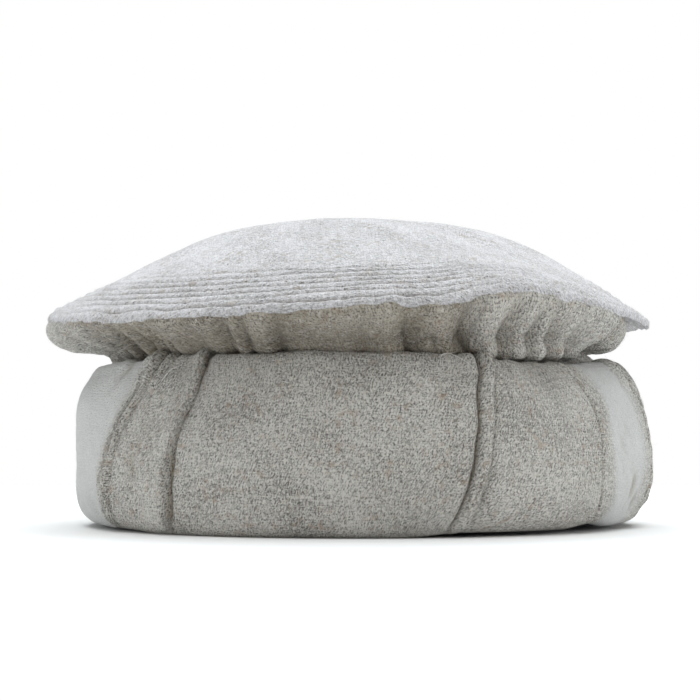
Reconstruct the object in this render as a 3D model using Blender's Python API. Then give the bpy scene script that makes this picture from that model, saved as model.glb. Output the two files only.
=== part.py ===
"""A pakol: a soft, round wool hat whose lower end is rolled up into a thick brim.

Run with: blender --background --python part.py. Metres, +Z up. The hat rests on the flat under its
brim, and the origin is on that surface, under the middle of the hat's outline. Azimuths are in degrees:
0 faces the front (-Y) and 90 faces +X. The real hat is a round crown sewn to a cloth tube, and the tube
is gathered in to the head, runs down to the opening and is rolled up from there. Here that one cloth is
four rings with a seam's gap between them: a lining band, the gathered skirt, the head tube and the brim.
"""

import math
from collections import namedtuple

import bmesh
import bpy
import numpy as np

MM = 0.001

# Driving dimensions
CLOTH = 2.4 * MM  # thickness of the felted wool
SEWN_GAP = 0.5 * MM  # between two pieces that are sewn or pressed together
DEPTH_SHARE = 0.988  # the hat's depth, front to back, for each metre of its width
RIM_RADIUS = 121.5 * MM  # middle of the crown's edge
RIM_HEIGHT = 83.5 * MM
CROWN_HEIGHT = 121.9 * MM  # middle of the cloth at the top of the dome
QUILTED_BAND = 29.0 * MM  # width of the stitched band round the crown
HEAD_RADIUS = 92.9 * MM  # inside the opening: a head of 58 cm
BRIM_HEIGHT = 66.5 * MM
BRIM_SHIFT = 4.5 * MM  # how far the brim sits to the +X side of the crown
SHIFT_LOW, SHIFT_HIGH = 57.0 * MM, 76.5 * MM  # the shift fades out between these heights
TUBE_FACE = HEAD_RADIUS + CLOTH  # outer face of the tube, which the brim is wound against

# The dome's height over its rim, as a share of the whole rise
DomeRow = namedtuple("DomeRow", "share height")
DOME = [
    DomeRow(-0.16, 0.983),  # past the top, so that the dome is level there
    DomeRow(0.00, 1.000),
    DomeRow(0.16, 0.983),
    DomeRow(0.33, 0.905),
    DomeRow(0.49, 0.765),
    DomeRow(0.66, 0.525),
    DomeRow(0.82, 0.285),
    DomeRow(0.93, 0.115),
    DomeRow(1.00, 0.000),
]

RIM_WAVE_START = 0.58  # share of the radius where the rim's own wave starts to show

# How far the rim stands above or below RIM_HEIGHT, and how far the crown's edge reaches past the skirt
RimRow = namedtuple("RimRow", "azimuth rise overhang")
RIM = [
    RimRow(-125, 1.0 * MM, 2.5 * MM),
    RimRow(-90, 0.0 * MM, 0.8 * MM),
    RimRow(-62, -2.8 * MM, 1.0 * MM),
    RimRow(-45, -3.8 * MM, 1.4 * MM),
    RimRow(-28, -3.3 * MM, 1.6 * MM),
    RimRow(-8, -1.0 * MM, 1.8 * MM),
    RimRow(8, 0.8 * MM, 1.8 * MM),
    RimRow(17, 1.2 * MM, 1.6 * MM),
    RimRow(30, 6.0 * MM, 1.4 * MM),
    RimRow(41, 3.5 * MM, 1.6 * MM),
    RimRow(52, 1.0 * MM, 2.6 * MM),
    RimRow(70, -2.4 * MM, 6.6 * MM),
    RimRow(87, -6.4 * MM, 11.5 * MM),
    RimRow(110, -1.2 * MM, 6.6 * MM),
    RimRow(150, 1.6 * MM, 2.5 * MM),
    RimRow(195, -1.5 * MM, 2.5 * MM),
]

# Soft lumps and hollows of the crown, placed by azimuth and share of its radius
LumpRow = namedtuple("LumpRow", "azimuth share spread rise")
CROWN_LUMPS = [
    LumpRow(80, 0.52, 0.38, 2.6 * MM),
    LumpRow(82, 0.70, 0.22, 1.9 * MM),
    LumpRow(-85, 0.74, 0.26, -0.8 * MM),
    LumpRow(-30, 0.55, 0.24, -0.8 * MM),
    LumpRow(30, 0.86, 0.16, -1.2 * MM),
    LumpRow(160, 0.60, 0.30, 1.4 * MM),
    LumpRow(-140, 0.66, 0.26, -1.2 * MM),
]

# The skirt's run from under the rim to the head: how far in from the crown's edge, and what share of the
# drop to NECK_HEIGHT it has made, where it slopes straight to the head (flat) and where it bags out (full)
SkirtRow = namedtuple("SkirtRow", "flat_in flat_drop full_in full_drop gather")
SKIRT = [
    SkirtRow(0.4 * MM, 0.30, 0.0 * MM, 0.33, 0.20),
    SkirtRow(3.4 * MM, 0.55, 0.8 * MM, 0.62, 0.65),
    SkirtRow(7.8 * MM, 0.80, 5.0 * MM, 0.83, 1.00),
    SkirtRow(13.2 * MM, 1.00, 13.5 * MM, 0.90, 1.15),
]
NECK_HEIGHT = 69.2 * MM
# Where it bags out, as a share of the full rows
BagRow = namedtuple("BagRow", "azimuth share")
BAG = [
    BagRow(-130, 0.5),
    BagRow(-90, 1.0),
    BagRow(-62, 0.85),
    BagRow(-30, 0.30),
    BagRow(0, 0.25),
    BagRow(30, 0.35),
    BagRow(62, 0.60),
    BagRow(90, 0.55),
    BagRow(130, 0.6),
    BagRow(180, 0.4),
]
# The skirt turns down at the head and goes on as the head tube: height, distance out from the tube's middle
# line, and share of the gathers
TUBE_TOP = 63.0 * MM
TubeRow = namedtuple("TubeRow", "height out gather")
TURN_DOWN = [
    TubeRow(68.0 * MM, 2.0 * MM, 1.00),
    TubeRow(TUBE_TOP + SEWN_GAP, 0.0 * MM, 0.70),
]
TUBE = [
    TubeRow(TUBE_TOP, 0.0 * MM, 0.70),
    TubeRow(52.0 * MM, 0.0 * MM, 0.20),
    TubeRow(6.0 * MM, 0.0 * MM, 0.00),
]
# The lining band lies under the quilted band and stops this far inside the skirt's edge
LINING_STOP = 2.8 * MM

# On the skirt a valley of the gathers lies this far in and up, for each metre of its depth
VALLEY_IN, VALLEY_UP = 0.45, 0.85

# Gathers: valleys between the folds that run from the head to the rim
FoldRow = namedtuple("FoldRow", "azimuth width depth")
FRONT_FOLDS = [
    FoldRow(-84, 5.0, 2.8 * MM),
    FoldRow(-75, 4.5, 2.4 * MM),
    FoldRow(-66, 4.5, 2.8 * MM),
    FoldRow(-54, 5.0, 3.8 * MM),
    FoldRow(-47, 3.2, 3.2 * MM),
    FoldRow(-42, 3.2, 3.0 * MM),
    FoldRow(-37, 3.2, 2.0 * MM),
    FoldRow(-25, 3.4, 2.2 * MM),
    FoldRow(-21, 3.0, 2.4 * MM),
    FoldRow(-13, 4.5, 3.2 * MM),
    FoldRow(5, 4.0, 2.2 * MM),
    FoldRow(11, 3.6, 3.4 * MM),
    FoldRow(21, 4.4, 3.4 * MM),
    FoldRow(29, 4.4, 4.4 * MM),
    FoldRow(36, 3.8, 3.2 * MM),
    FoldRow(43, 4.6, 3.8 * MM),
    FoldRow(52, 4.6, 3.0 * MM),
    FoldRow(61, 5.2, 4.6 * MM),
    FoldRow(71, 4.6, 2.8 * MM),
    FoldRow(80, 5.0, 3.4 * MM),
]
# Round the back they are evenly spread, and then each is moved, widened and deepened by a wave
BACK_FOLDS = 18
BACK_FIRST, BACK_LAST = 90.0, 268.0
BACK_FOLD = FoldRow(0.0, 4.6, 2.9 * MM)
BACK_VARIED = FoldRow(1.6, 0.6, 0.8 * MM)
BACK_WAVES = FoldRow(2.4, 1.7, 3.1)  # radians from one fold to the next

# The wound brim's outline: distance out from the tube's face, and height
BrimRow = namedtuple("BrimRow", "out height")
BRIM = [
    BrimRow(0.0 * MM, 7.0 * MM),
    BrimRow(1.6 * MM, 1.8 * MM),
    BrimRow(4.6 * MM, 0.0 * MM),
    BrimRow(10.0 * MM, 0.0 * MM),
    BrimRow(14.6 * MM, 3.2 * MM),
    BrimRow(18.2 * MM, 11.0 * MM),
    BrimRow(19.8 * MM, 24.0 * MM),
    BrimRow(18.9 * MM, 38.0 * MM),
    BrimRow(17.0 * MM, 51.0 * MM),
    BrimRow(13.4 * MM, 60.0 * MM),
    BrimRow(8.4 * MM, 65.4 * MM),
    BrimRow(3.4 * MM, 65.0 * MM),
    BrimRow(0.6 * MM, 58.5 * MM),
    BrimRow(0.0 * MM, 32.0 * MM),
]
# Lumps of the brim, each with its spread in degrees and in height
BulgeRow = namedtuple("BulgeRow", "azimuth height turn spread rise")
BULGES = [
    BulgeRow(-92, 54.0 * MM, 48, 18.0 * MM, 0.7 * MM),
    BulgeRow(-92, 24.0 * MM, 40, 22.0 * MM, -1.1 * MM),
    BulgeRow(92, 28.0 * MM, 44, 26.0 * MM, 2.3 * MM),
    BulgeRow(92, 4.0 * MM, 40, 14.0 * MM, -0.9 * MM),
    BulgeRow(-44, 44.0 * MM, 9, 30.0 * MM, 1.0 * MM),
    BulgeRow(-27, 40.0 * MM, 10, 34.0 * MM, -1.2 * MM),
    BulgeRow(60, 34.0 * MM, 14, 34.0 * MM, -0.9 * MM),
    BulgeRow(150, 40.0 * MM, 30, 30.0 * MM, 1.2 * MM),
    BulgeRow(205, 30.0 * MM, 26, 30.0 * MM, -1.2 * MM),
]
# How much higher or lower the brim's top is round the hat
TopRow = namedtuple("TopRow", "azimuth rise")
TOP = [
    TopRow(-90, -3.2 * MM),
    TopRow(-45, -0.7 * MM),
    TopRow(0, 0.6 * MM),
    TopRow(45, -1.0 * MM),
    TopRow(70, -1.0 * MM),
    TopRow(90, 0.0 * MM),
    TopRow(180, -0.8 * MM),
]
TOP_FADE = 30.0 * MM  # height over which the top's wave fades out
# Stretches where the brim's foot lies clear of the surface, from one azimuth to the other
LiftRow = namedtuple("LiftRow", "first last ramp rise")
LIFTS = [
    LiftRow(7, 94, 13, 1.8 * MM),
    LiftRow(45, 63, 8, 1.5 * MM),
    LiftRow(-98, -41, 16, 1.2 * MM),
    LiftRow(140, 200, 20, 1.6 * MM),
]
LIFT_FADE = 18.0 * MM  # height over which a lift fades out
# Creases of the brim: azimuths at five heights from top to foot, how far it stands proud, and its width on
# each side in degrees. A welt has a short left side. A tuck laps from the left and drops to its right.
CreaseRow = namedtuple("CreaseRow", "top upper middle lower foot proud left right")
CREASE_HEIGHTS = (66 * MM, 50 * MM, 33 * MM, 17 * MM, 0 * MM)
CREASES = [
    CreaseRow(24.0, 21.6, 21.2, 19.2, 16.0, 1.9 * MM, 0.9, 2.3),
    CreaseRow(-32.5, -33.0, -36.0, -36.5, -38.5, 2.0 * MM, 3.6, 0.7),
    CreaseRow(-46.5, -50.0, -56.0, -58.0, -60.5, 1.4 * MM, 1.8, 1.0),
    CreaseRow(64.0, 71.0, 76.0, 75.0, 70.0, 1.6 * MM, 1.8, 0.8),
    CreaseRow(151.0, 149.0, 148.0, 149.0, 152.0, 1.4 * MM, 1.0, 2.0),
    CreaseRow(-118.0, -121.0, -123.0, -122.0, -119.0, 1.4 * MM, 2.0, 1.0),
]
CREASE_REACH = 24.0  # degrees over which the cloth beside a crease leans with it
# Creases and lumps fade in over these distances out from the tube, and over these heights at the foot
INNER_FACE = (3 * MM, 9 * MM)
FOOT = (0 * MM, 12 * MM)

CROWN_SHARES = (0.20, 0.38, 0.54, 0.68, 0.80, 0.90, 0.97, 1.0)  # the crown's rows, by share of its radius
FOLD_STEP = 5.0  # widest step between the crown's and skirt's columns, in degrees
BRIM_STEP = 4.0  # widest step between the brim's columns
SHARP_ANGLE = math.radians(50)  # edges turn sharper than this only where the cloth ends
WOOL_COLOUR = (0.46, 0.445, 0.41, 1.0)


def turned(azimuth, centre):
    """Signed angle from centre to azimuth, from -180 to 180 degrees."""
    return (np.asarray(azimuth, float) - centre + 180.0) % 360.0 - 180.0


def hump(distance, reach):
    """1 at no distance, falling smoothly to 0 at reach."""
    share = np.clip(np.abs(distance) / reach, 0.0, 1.0)
    return np.cos(share * math.pi / 2) ** 2


def eased(x, low, high):
    """0 below low, 1 above high, and smooth between them."""
    share = np.clip((x - low) / (high - low), 0.0, 1.0)
    return share * share * (3 - 2 * share)


def through(at, places, values):
    """A smooth curve through the values at rising places, read at the points at."""
    places = np.asarray(places, float)
    values = np.asarray(values, float)
    slopes = np.gradient(values, places)
    k = np.clip(np.searchsorted(places, at, side="right") - 1, 0, len(places) - 2)
    run = places[k + 1] - places[k]
    t = (at - places[k]) / run
    start = (1 + 2 * t) * (1 - t) ** 2 * values[k] + t * (1 - t) ** 2 * run * slopes[k]
    end = t * t * (3 - 2 * t) * values[k + 1] + t * t * (t - 1) * run * slopes[k + 1]
    return start + end


def around(azimuth, rows, column):
    """A smooth closed curve through one column of rows that are placed by azimuth."""
    rows = sorted(rows, key=lambda row: row.azimuth)
    places = [row.azimuth + turn for turn in (-360, 0, 360) for row in rows]
    values = [getattr(row, column) for _ in range(3) for row in rows]
    return through(turned(azimuth, 0.0), places, values)


def shift_at(height):
    """How far the hat's middle lies towards +X at a height."""
    return BRIM_SHIFT * (1 - eased(height, SHIFT_LOW, SHIFT_HIGH))


def placed(azimuth, radius, height, shift=None):
    """Points in space from azimuths, radii and heights."""
    angle = np.radians(azimuth)
    sideways = shift_at(height) if shift is None else shift
    x = sideways + radius * np.sin(angle)
    y = -DEPTH_SHARE * radius * np.cos(angle)
    return np.stack(np.broadcast_arrays(x, y, height), axis=-1)


def all_folds():
    """The front's folds, and plain ones round the back that vary by a slow wave."""
    folds = list(FRONT_FOLDS)
    step = (BACK_LAST - BACK_FIRST) / (BACK_FOLDS - 1)
    for k in range(BACK_FOLDS):
        waves = [math.sin(wave * k) for wave in BACK_WAVES]
        azimuth, width, depth = (a + b * c for a, b, c in zip(BACK_FOLD, BACK_VARIED, waves))
        folds.append(FoldRow(BACK_FIRST + k * step + azimuth, width, depth))
    return sorted(folds, key=lambda fold: turned(fold.azimuth, 0.0))


def gather(azimuth, folds):
    """How deep the cloth lies between the gathers' ridges at an azimuth."""
    depths = [fold.depth * hump(turned(azimuth, fold.azimuth), fold.width) for fold in folds]
    return np.max(depths, axis=0)


def filled(marks, widest):
    """Marks round the circle, with even steps added wherever two are further apart than widest."""
    marks = np.sort(turned(np.asarray(marks), 0.0))
    columns = []
    for start, end in zip(marks, np.append(marks[1:], marks[0] + 360.0)):
        steps = max(1, math.ceil((end - start) / widest))
        columns.extend(start + (end - start) * k / steps for k in range(steps))
    return np.array(columns)


def crown_middle(azimuth, share):
    """Middle of the crown's cloth at a share of the way from its top to its edge."""
    rise = through(share, [row.share for row in DOME], [row.height for row in DOME])
    height = RIM_HEIGHT + (CROWN_HEIGHT - RIM_HEIGHT) * rise
    height = height + around(azimuth, RIM, "rise") * eased(share, RIM_WAVE_START, 1.0)
    for lump in CROWN_LUMPS:
        angle = np.radians(azimuth - lump.azimuth)
        apart = np.hypot(share * np.cos(angle) - lump.share, share * np.sin(angle))
        height = height + lump.rise * hump(apart, lump.spread)
    return placed(azimuth, share * RIM_RADIUS, height, shift=0.0)


def face_normals(grid):
    """Unit normals of a grid of columns that closes round the hat, pointing away from its inside."""
    across = np.roll(grid, -1, axis=0) - np.roll(grid, 1, axis=0)
    along = np.gradient(grid, axis=1)
    normals = np.cross(along, across)
    return normals / np.linalg.norm(normals, axis=-1, keepdims=True)


def both_faces(middle, normals):
    """The cloth's outer face, then its inner face back to the start, from the middle of the cloth."""
    half = normals * CLOTH / 2
    return np.concatenate([middle + half, (middle - half)[:, ::-1]], axis=1)


def build_object(name, points, faces, material, parent):
    """A closed object, smooth shaded, with its faces pointing out."""
    mesh = bpy.data.meshes.new(name)
    mesh.from_pydata([tuple(map(float, p)) for p in points], [], faces)
    work = bmesh.new()
    work.from_mesh(mesh)
    bmesh.ops.recalc_face_normals(work, faces=work.faces)
    work.to_mesh(mesh)
    work.free()
    mesh.shade_smooth()
    mesh.set_sharp_from_angle(angle=SHARP_ANGLE)
    mesh.materials.append(material)
    made = bpy.data.objects.new(name, mesh)
    bpy.context.scene.collection.objects.link(made)
    made.parent = parent
    return made


def ring_faces(columns, rows, closed_rows):
    """Four-sided faces between neighbouring columns and rows of a grid that closes round the hat."""
    faces = []
    for c in range(columns):
        beside = (c + 1) % columns
        for r in range(rows if closed_rows else rows - 1):
            above = (r + 1) % rows
            faces.append((c * rows + r, beside * rows + r, beside * rows + above, c * rows + above))
    return faces


def build_crown(columns, material, parent):
    """The domed crown: one layer of cloth, open below, with a square-cut edge."""
    middle = crown_middle(columns[:, None], np.array(CROWN_SHARES))
    grid = both_faces(middle, face_normals(middle))
    rows = grid.shape[1]
    top = (0.0, 0.0, CROWN_HEIGHT + CLOTH / 2)
    under = (0.0, 0.0, CROWN_HEIGHT - CLOTH / 2)
    points = [*grid.reshape(-1, 3), top, under]
    faces = ring_faces(len(columns), rows, closed_rows=False)
    count = len(columns)
    for c in range(count):
        beside = (c + 1) % count
        faces.append((count * rows, beside * rows, c * rows))
        faces.append((count * rows + 1, c * rows + rows - 1, beside * rows + rows - 1))
    return build_object("crown", points, faces, material, parent)


def build_ring(name, grid, material, parent):
    """A closed ring from a grid of columns, each of which runs once round the ring's section."""
    faces = ring_faces(len(grid), grid.shape[1], closed_rows=True)
    return build_object(name, grid.reshape(-1, 3), faces, material, parent)


def lining_grid(columns):
    """The lining band: one layer of cloth against the underside of the quilted band."""
    overhang = around(columns, RIM, "overhang")
    start = 1 - QUILTED_BAND / RIM_RADIUS
    end = 1 - (overhang + LINING_STOP) / RIM_RADIUS
    middle = crown_middle(columns[:, None], start + (end - start)[:, None] * np.array([0.0, 0.5, 1.0]))
    normals = face_normals(middle)
    return both_faces(middle - normals * (CLOTH + SEWN_GAP), normals)


def under_crown(columns, radii):
    """Points a seam's gap under the crown's cloth, at two radii for each column."""
    middle = crown_middle(columns[:, None], np.minimum(radii / RIM_RADIUS, 1.0))
    return middle - face_normals(middle) * (CLOTH / 2 + SEWN_GAP)


def tube_middle(columns, folds):
    """Middle of the cloth from under the rim, in to the head and down to the foot of the tube."""
    edge_height = crown_middle(columns, np.ones_like(columns))[:, 2]
    overhang = around(columns, RIM, "overhang")
    bag = around(columns, BAG, "share")
    deep = gather(columns, folds)
    runs = []
    for row in SKIRT:
        inward = row.flat_in + (row.full_in - row.flat_in) * bag
        drop = row.flat_drop + (row.full_drop - row.flat_drop) * bag
        radius = RIM_RADIUS - overhang - inward - VALLEY_IN * deep * row.gather
        height = edge_height - drop * (edge_height - NECK_HEIGHT) + VALLEY_UP * deep * row.gather
        runs.append(placed(columns, radius, height))
    for row in TURN_DOWN + TUBE:
        radius = HEAD_RADIUS + CLOTH / 2 + row.out - deep * row.gather
        runs.append(placed(columns, radius, row.height * np.ones_like(columns)))
    return np.stack(runs, axis=1)


def build_skirt_and_tube(columns, folds, material, parent):
    """The gathered skirt, whose top meets the crown's underside, and the head tube below it."""
    middle = tube_middle(columns, folds)
    normals = face_normals(middle)
    last = len(SKIRT) + len(TURN_DOWN)
    normals[:, last - 1:last + 1, 2] = 0.0  # the seam between the two is cut level
    skirt = both_faces(middle[:, :last], normals[:, :last])
    wall = RIM_RADIUS - around(columns, RIM, "overhang") - SKIRT[0].flat_in
    corners = under_crown(columns, np.stack([wall - CLOTH / 2, wall + CLOTH / 2], axis=1))
    skirt = np.concatenate([corners[:, 1:], skirt, corners[:, :1]], axis=1)
    build_ring("gathered_skirt", skirt, material, parent)
    build_ring("head_tube", both_faces(middle[:, last:], normals[:, last:]), material, parent)


def crease_azimuth(crease, height):
    """Where a crease runs at a height."""
    azimuths = [crease.foot, crease.lower, crease.middle, crease.upper, crease.top]
    return through(height, CREASE_HEIGHTS[::-1], azimuths)


def brim_point(column, out, height):
    """A point of the brim. Columns are azimuths on the flat cloth, and lean with the creases."""
    outside = eased(out, *INNER_FACE)
    azimuth = column + 0.0 * height
    proud = 0.0 * height
    for crease in CREASES:
        apart = turned(column, crease.middle)
        lean = crease_azimuth(crease, height) - crease.middle
        azimuth = azimuth + lean * hump(apart, CREASE_REACH)
        side = np.where(apart < 0, crease.left, crease.right)
        proud = proud + crease.proud * hump(apart, side)
    for bulge in BULGES:
        share = hump(turned(column, bulge.azimuth), bulge.turn)
        proud = proud + bulge.rise * share * hump(height - bulge.height, bulge.spread)
    rise = around(azimuth, TOP, "rise") * eased(height, BRIM_HEIGHT - TOP_FADE, BRIM_HEIGHT)
    for lift in LIFTS:
        middle = (lift.first + lift.last) / 2
        inside = (lift.last - lift.first) / 2 - np.abs(turned(azimuth, middle))
        rise = rise + lift.rise * eased(inside, 0.0, lift.ramp) * hump(height, LIFT_FADE)
    radius = TUBE_FACE + SEWN_GAP + out + proud * outside * eased(height, *FOOT)
    return placed(azimuth, radius, height + rise)


def build_brim(material, parent):
    """The wound brim: a ring as thick as the rolled cloth, flat where it rests."""
    marks = []
    for crease in CREASES:
        marks += [crease.middle - crease.left, crease.middle, crease.middle + crease.right]
    columns = filled(marks, BRIM_STEP)
    out = np.array([row.out for row in BRIM])
    height = np.array([row.height for row in BRIM])
    grid = brim_point(columns[:, None], out[None, :], height[None, :])
    return build_ring("rolled_brim", grid, material, parent)


def wool():
    """Heathered, undyed wool."""
    material = bpy.data.materials.new("wool")
    material.use_nodes = True
    shader = material.node_tree.nodes["Principled BSDF"]
    shader.inputs["Base Color"].default_value = WOOL_COLOUR
    shader.inputs["Roughness"].default_value = 1.0
    shader.inputs["Metallic"].default_value = 0.0
    shader.inputs["Sheen Weight"].default_value = 0.3
    material.diffuse_color = WOOL_COLOUR
    return material


def main():
    for old in list(bpy.data.objects):
        bpy.data.objects.remove(old)
    parent = bpy.data.objects.new("pakol", None)
    bpy.context.scene.collection.objects.link(parent)
    cloth = wool()
    folds = all_folds()
    valleys = [fold.azimuth for fold in folds]
    ridges = [a + turned(b, a) / 2 for a, b in zip(valleys, valleys[1:] + valleys[:1])]
    columns = filled(valleys + ridges, FOLD_STEP)
    build_crown(columns, cloth, parent)
    build_ring("lining_band", lining_grid(columns), cloth, parent)
    build_skirt_and_tube(columns, folds, cloth, parent)
    build_brim(cloth, parent)


main()
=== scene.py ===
"""The looks of a pakol: a soft, round wool hat whose lower end is rolled up into a thick brim.

Metres, +Z up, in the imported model's own frame. Azimuths are in degrees: 0 faces the front (-Y) and 90
faces +X. The hat is two cloths, as the real one is: a round crown, quilted round its edge, and one tube
of cloth that is turned in under the crown, gathered in to the head, runs down to the opening and is
rolled up from there.
"""

import math
from collections import namedtuple

import bpy
import numpy as np
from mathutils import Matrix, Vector


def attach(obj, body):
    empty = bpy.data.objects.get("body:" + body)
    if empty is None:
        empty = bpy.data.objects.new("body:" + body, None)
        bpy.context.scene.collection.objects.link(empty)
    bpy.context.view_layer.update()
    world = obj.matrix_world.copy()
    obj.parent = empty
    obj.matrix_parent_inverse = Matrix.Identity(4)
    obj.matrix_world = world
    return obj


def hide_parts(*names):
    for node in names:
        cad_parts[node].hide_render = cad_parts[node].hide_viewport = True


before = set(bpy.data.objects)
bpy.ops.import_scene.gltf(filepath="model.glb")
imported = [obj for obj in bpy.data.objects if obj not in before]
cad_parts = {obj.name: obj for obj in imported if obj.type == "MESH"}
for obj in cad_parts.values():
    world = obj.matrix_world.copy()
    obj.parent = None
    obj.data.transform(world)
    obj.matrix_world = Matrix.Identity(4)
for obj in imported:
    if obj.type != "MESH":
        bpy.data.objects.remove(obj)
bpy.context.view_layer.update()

MM = 0.001


def table(row_type, rows, in_mm=""):
    """Rows with named columns. The columns that in_mm names are given in millimetres."""
    units = [MM if name in in_mm.split() else 1 for name in row_type._fields]
    return [row_type(*(value * unit for value, unit in zip(row, units))) for row in rows]


# Driving dimensions, as in the solids
CLOTH = 2.4 * MM
SEWN_GAP = 0.5 * MM
DEPTH_SHARE = 0.988
RIM_RADIUS = 121.5 * MM
RIM_HEIGHT = 83.5 * MM
CROWN_HEIGHT = 121.9 * MM
QUILTED_BAND = 29.0 * MM
HEAD_RADIUS = 92.9 * MM
BRIM_HEIGHT = 66.5 * MM
BRIM_SHIFT = 4.5 * MM
SHIFT_LOW, SHIFT_HIGH = 57.0 * MM, 76.5 * MM
NECK_HEIGHT = 69.2 * MM
TUBE_FACE = HEAD_RADIUS + CLOTH
ROLL_FACE = TUBE_FACE + SEWN_GAP
BRIM_RADIUS = 114.0 * MM  # of the roll's outer face, to turn degrees into lengths

# Smooth random fields: their size, their wavelengths and their seed
FieldRow = namedtuple("FieldRow", "size lengths seed")
SEED = 7
ROW_WANDER = FieldRow(0.55 * MM, (90 * MM, 30 * MM), SEED)
CROWN_SLACK = FieldRow(0.5 * MM, (80 * MM, 38 * MM), SEED + 1)
LIP_WANDER = FieldRow(0.45 * MM, (34 * MM, 12 * MM), SEED + 2)
STITCH_PULL = FieldRow(0.3, (24 * MM, 9 * MM), SEED + 10)
BAND_PUCKER = FieldRow(0.8, (9 * MM, 5 * MM, 3.4 * MM), SEED + 20)
CREASE_WOBBLE = FieldRow(0.25 * MM, (26 * MM, 9 * MM), SEED + 40)
CREASE_PUCKER = FieldRow(0.15, (14 * MM, 6 * MM), SEED + 50)
DRAG = FieldRow(0.3 * MM, (13 * MM, 7 * MM), SEED + 60)
ROLL_SOFT = FieldRow(0.45 * MM, (70 * MM, 34 * MM), SEED + 61)
ROLL_FINE = FieldRow(0.16 * MM, (15 * MM, 9 * MM), SEED + 62)
FUZZ_SEED = SEED + 80
WAVES_EACH, WAVE_SPREAD = 5, (0.6, 1.3)  # waves for each wavelength, and how far they vary from it

DomeRow = namedtuple("DomeRow", "share height")
DOME = table(DomeRow, [
    (-0.16, 0.983), (0.00, 1.000), (0.16, 0.983), (0.33, 0.905), (0.49, 0.765), (0.66, 0.525),
    (0.82, 0.285), (0.93, 0.115), (1.00, 0.000)
])
RIM_WAVE_START = 0.58

RimRow = namedtuple("RimRow", "azimuth rise")
RIM = table(RimRow, [
    (-125, 1.0), (-90, 0.0), (-62, -2.8), (-45, -4.1), (-28, -4.1), (-8, -2.1), (8, -0.1), (17, 0.8),
    (30, 6.0), (41, 3.5), (52, 1.0), (70, -2.4), (87, -3.4), (110, -1.2), (150, 1.6), (195, -1.5)
], in_mm="rise")

# Soft lumps and hollows of the crown, placed by azimuth and share of its radius
LumpRow = namedtuple("LumpRow", "azimuth share spread rise")
CROWN_LUMPS = table(LumpRow, [
    (80, 0.52, 0.38, 2.6), (82, 0.70, 0.22, 1.9), (-85, 0.74, 0.26, -0.8), (-30, 0.55, 0.24, -0.8),
    (30, 0.86, 0.16, -1.2), (76, 0.85, 0.13, 1.5), (160, 0.60, 0.30, 1.4), (-140, 0.66, 0.26, -1.2)
], in_mm="rise")

# The quilted band: rows of stitching, by distance in from the crown's edge
StitchRow = namedtuple("StitchRow", "in_from_edge strength")
STITCH_ROWS = table(StitchRow, [
    (3.0, 0.75), (6.8, 1.0), (10.6, 1.0), (14.4, 1.0), (18.2, 0.9), (22.0, 0.75), (25.8, 0.55)
], in_mm="in_from_edge")
GROOVE_DEPTH, GROOVE_WIDTH = 0.85 * MM, 1.15 * MM
PUFF = 0.20 * MM  # how far the cloth swells between two rows
PUFF_START, PUFF_END = 1 * MM, 3 * MM  # over which the swelling sets in and fades out
STITCH_PITCH = 3.3 * MM
STITCH_DIMPLE = 0.22 * MM  # how much deeper a groove is where the thread goes in
ROW_PHASE = 1.9  # radians of a stitch from one row to the next
LINE_WIDTH = 0.75 * MM  # of the line of painted shade in a groove
# How slack the stitching is, so that its grooves are shallower
EaseRow = namedtuple("EaseRow", "azimuth slack")
EASE = table(EaseRow, [
    (-130, 0.10), (-95, 0.80), (-74, 0.76), (-58, 0.45), (-44, 0.08), (-20, 0.00), (12, 0.05), (30, 0.55),
    (60, 0.70), (95, 0.80), (130, 0.10), (180, 0.05)
])
EARLY_SLACK, EARLY_REACH = 0.50, 120.0  # the innermost row goes slack this much nearer the front
THREAD_RADIUS = 0.24 * MM
LIP_WIDTH = 2.6 * MM  # over which the crown's edge is rounded off
LIP_CURL, LIP_DROP = 6.0 * MM, 1.5 * MM  # how wide a strip of the edge curls down, and how far
LIP_ROUND = 0.995  # 1 would bring the edge's curve down to a point
SLACK_FROM, SLACK_TO = (QUILTED_BAND * 0.8, QUILTED_BAND * 1.4), (0.05, 0.5)  # the plain cloth's fades
FLAT_TIP = (88.0, 26.0)  # azimuth where the edge doesn't curl down, and how far to each side

# The crown's rings of points: share of its radius out to which a ring has this many columns
RingRow = namedtuple("RingRow", "share columns")
CROWN_RINGS = table(RingRow, [
    (0.03, 15), (0.06, 30), (0.12, 60), (0.24, 120), (0.45, 240), (0.72, 480)
])
CROWN_COLUMNS = 960
DOME_STEP = 0.03  # share of the radius between two rings of the plain dome
FIRST_RING, LAST_RING = DOME_STEP * 0.6, 0.06
BAND_MARGIN = 2 * MM  # how much further in than the quilted band its close rings start
BAND_STEP = 0.45 * MM  # between two rings of the quilted band
LIP_STEPS = 3
INSIDE_RINGS = 14
JOIN_AFTER, JOIN_BEFORE = 0.7, 0.3  # shares of the way round that lie before and after the join
BAKE_RADIUS, BAKE_TALL, BAKE_LIP = 0.235, 1.9, 0.05  # of each side's disc on the map to bake

# The skirt's run from under the rim to the head
SkirtRow = namedtuple("SkirtRow", "flat_in flat_drop full_in full_drop gather")
SKIRT = table(SkirtRow, [
    (0.9, 0.12, 0.9, 0.24, 0.55), (4.6, 0.40, 1.8, 0.58, 1.00), (9.0, 0.66, 5.6, 0.82, 1.10),
    (14.2, 0.94, 14.2, 0.90, 1.10), (17.6, 1.26, 22.0, 0.97, 0.75)
], in_mm="flat_in full_in")
BAND_KEYS = 6
BAND_TURN = 1.7 * MM  # how far in from the skirt's edge the cloth starts to turn down
SEAM_SUNK = 0.8 * MM  # how far the crown and the cloth that is sewn under it press into each other
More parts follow.
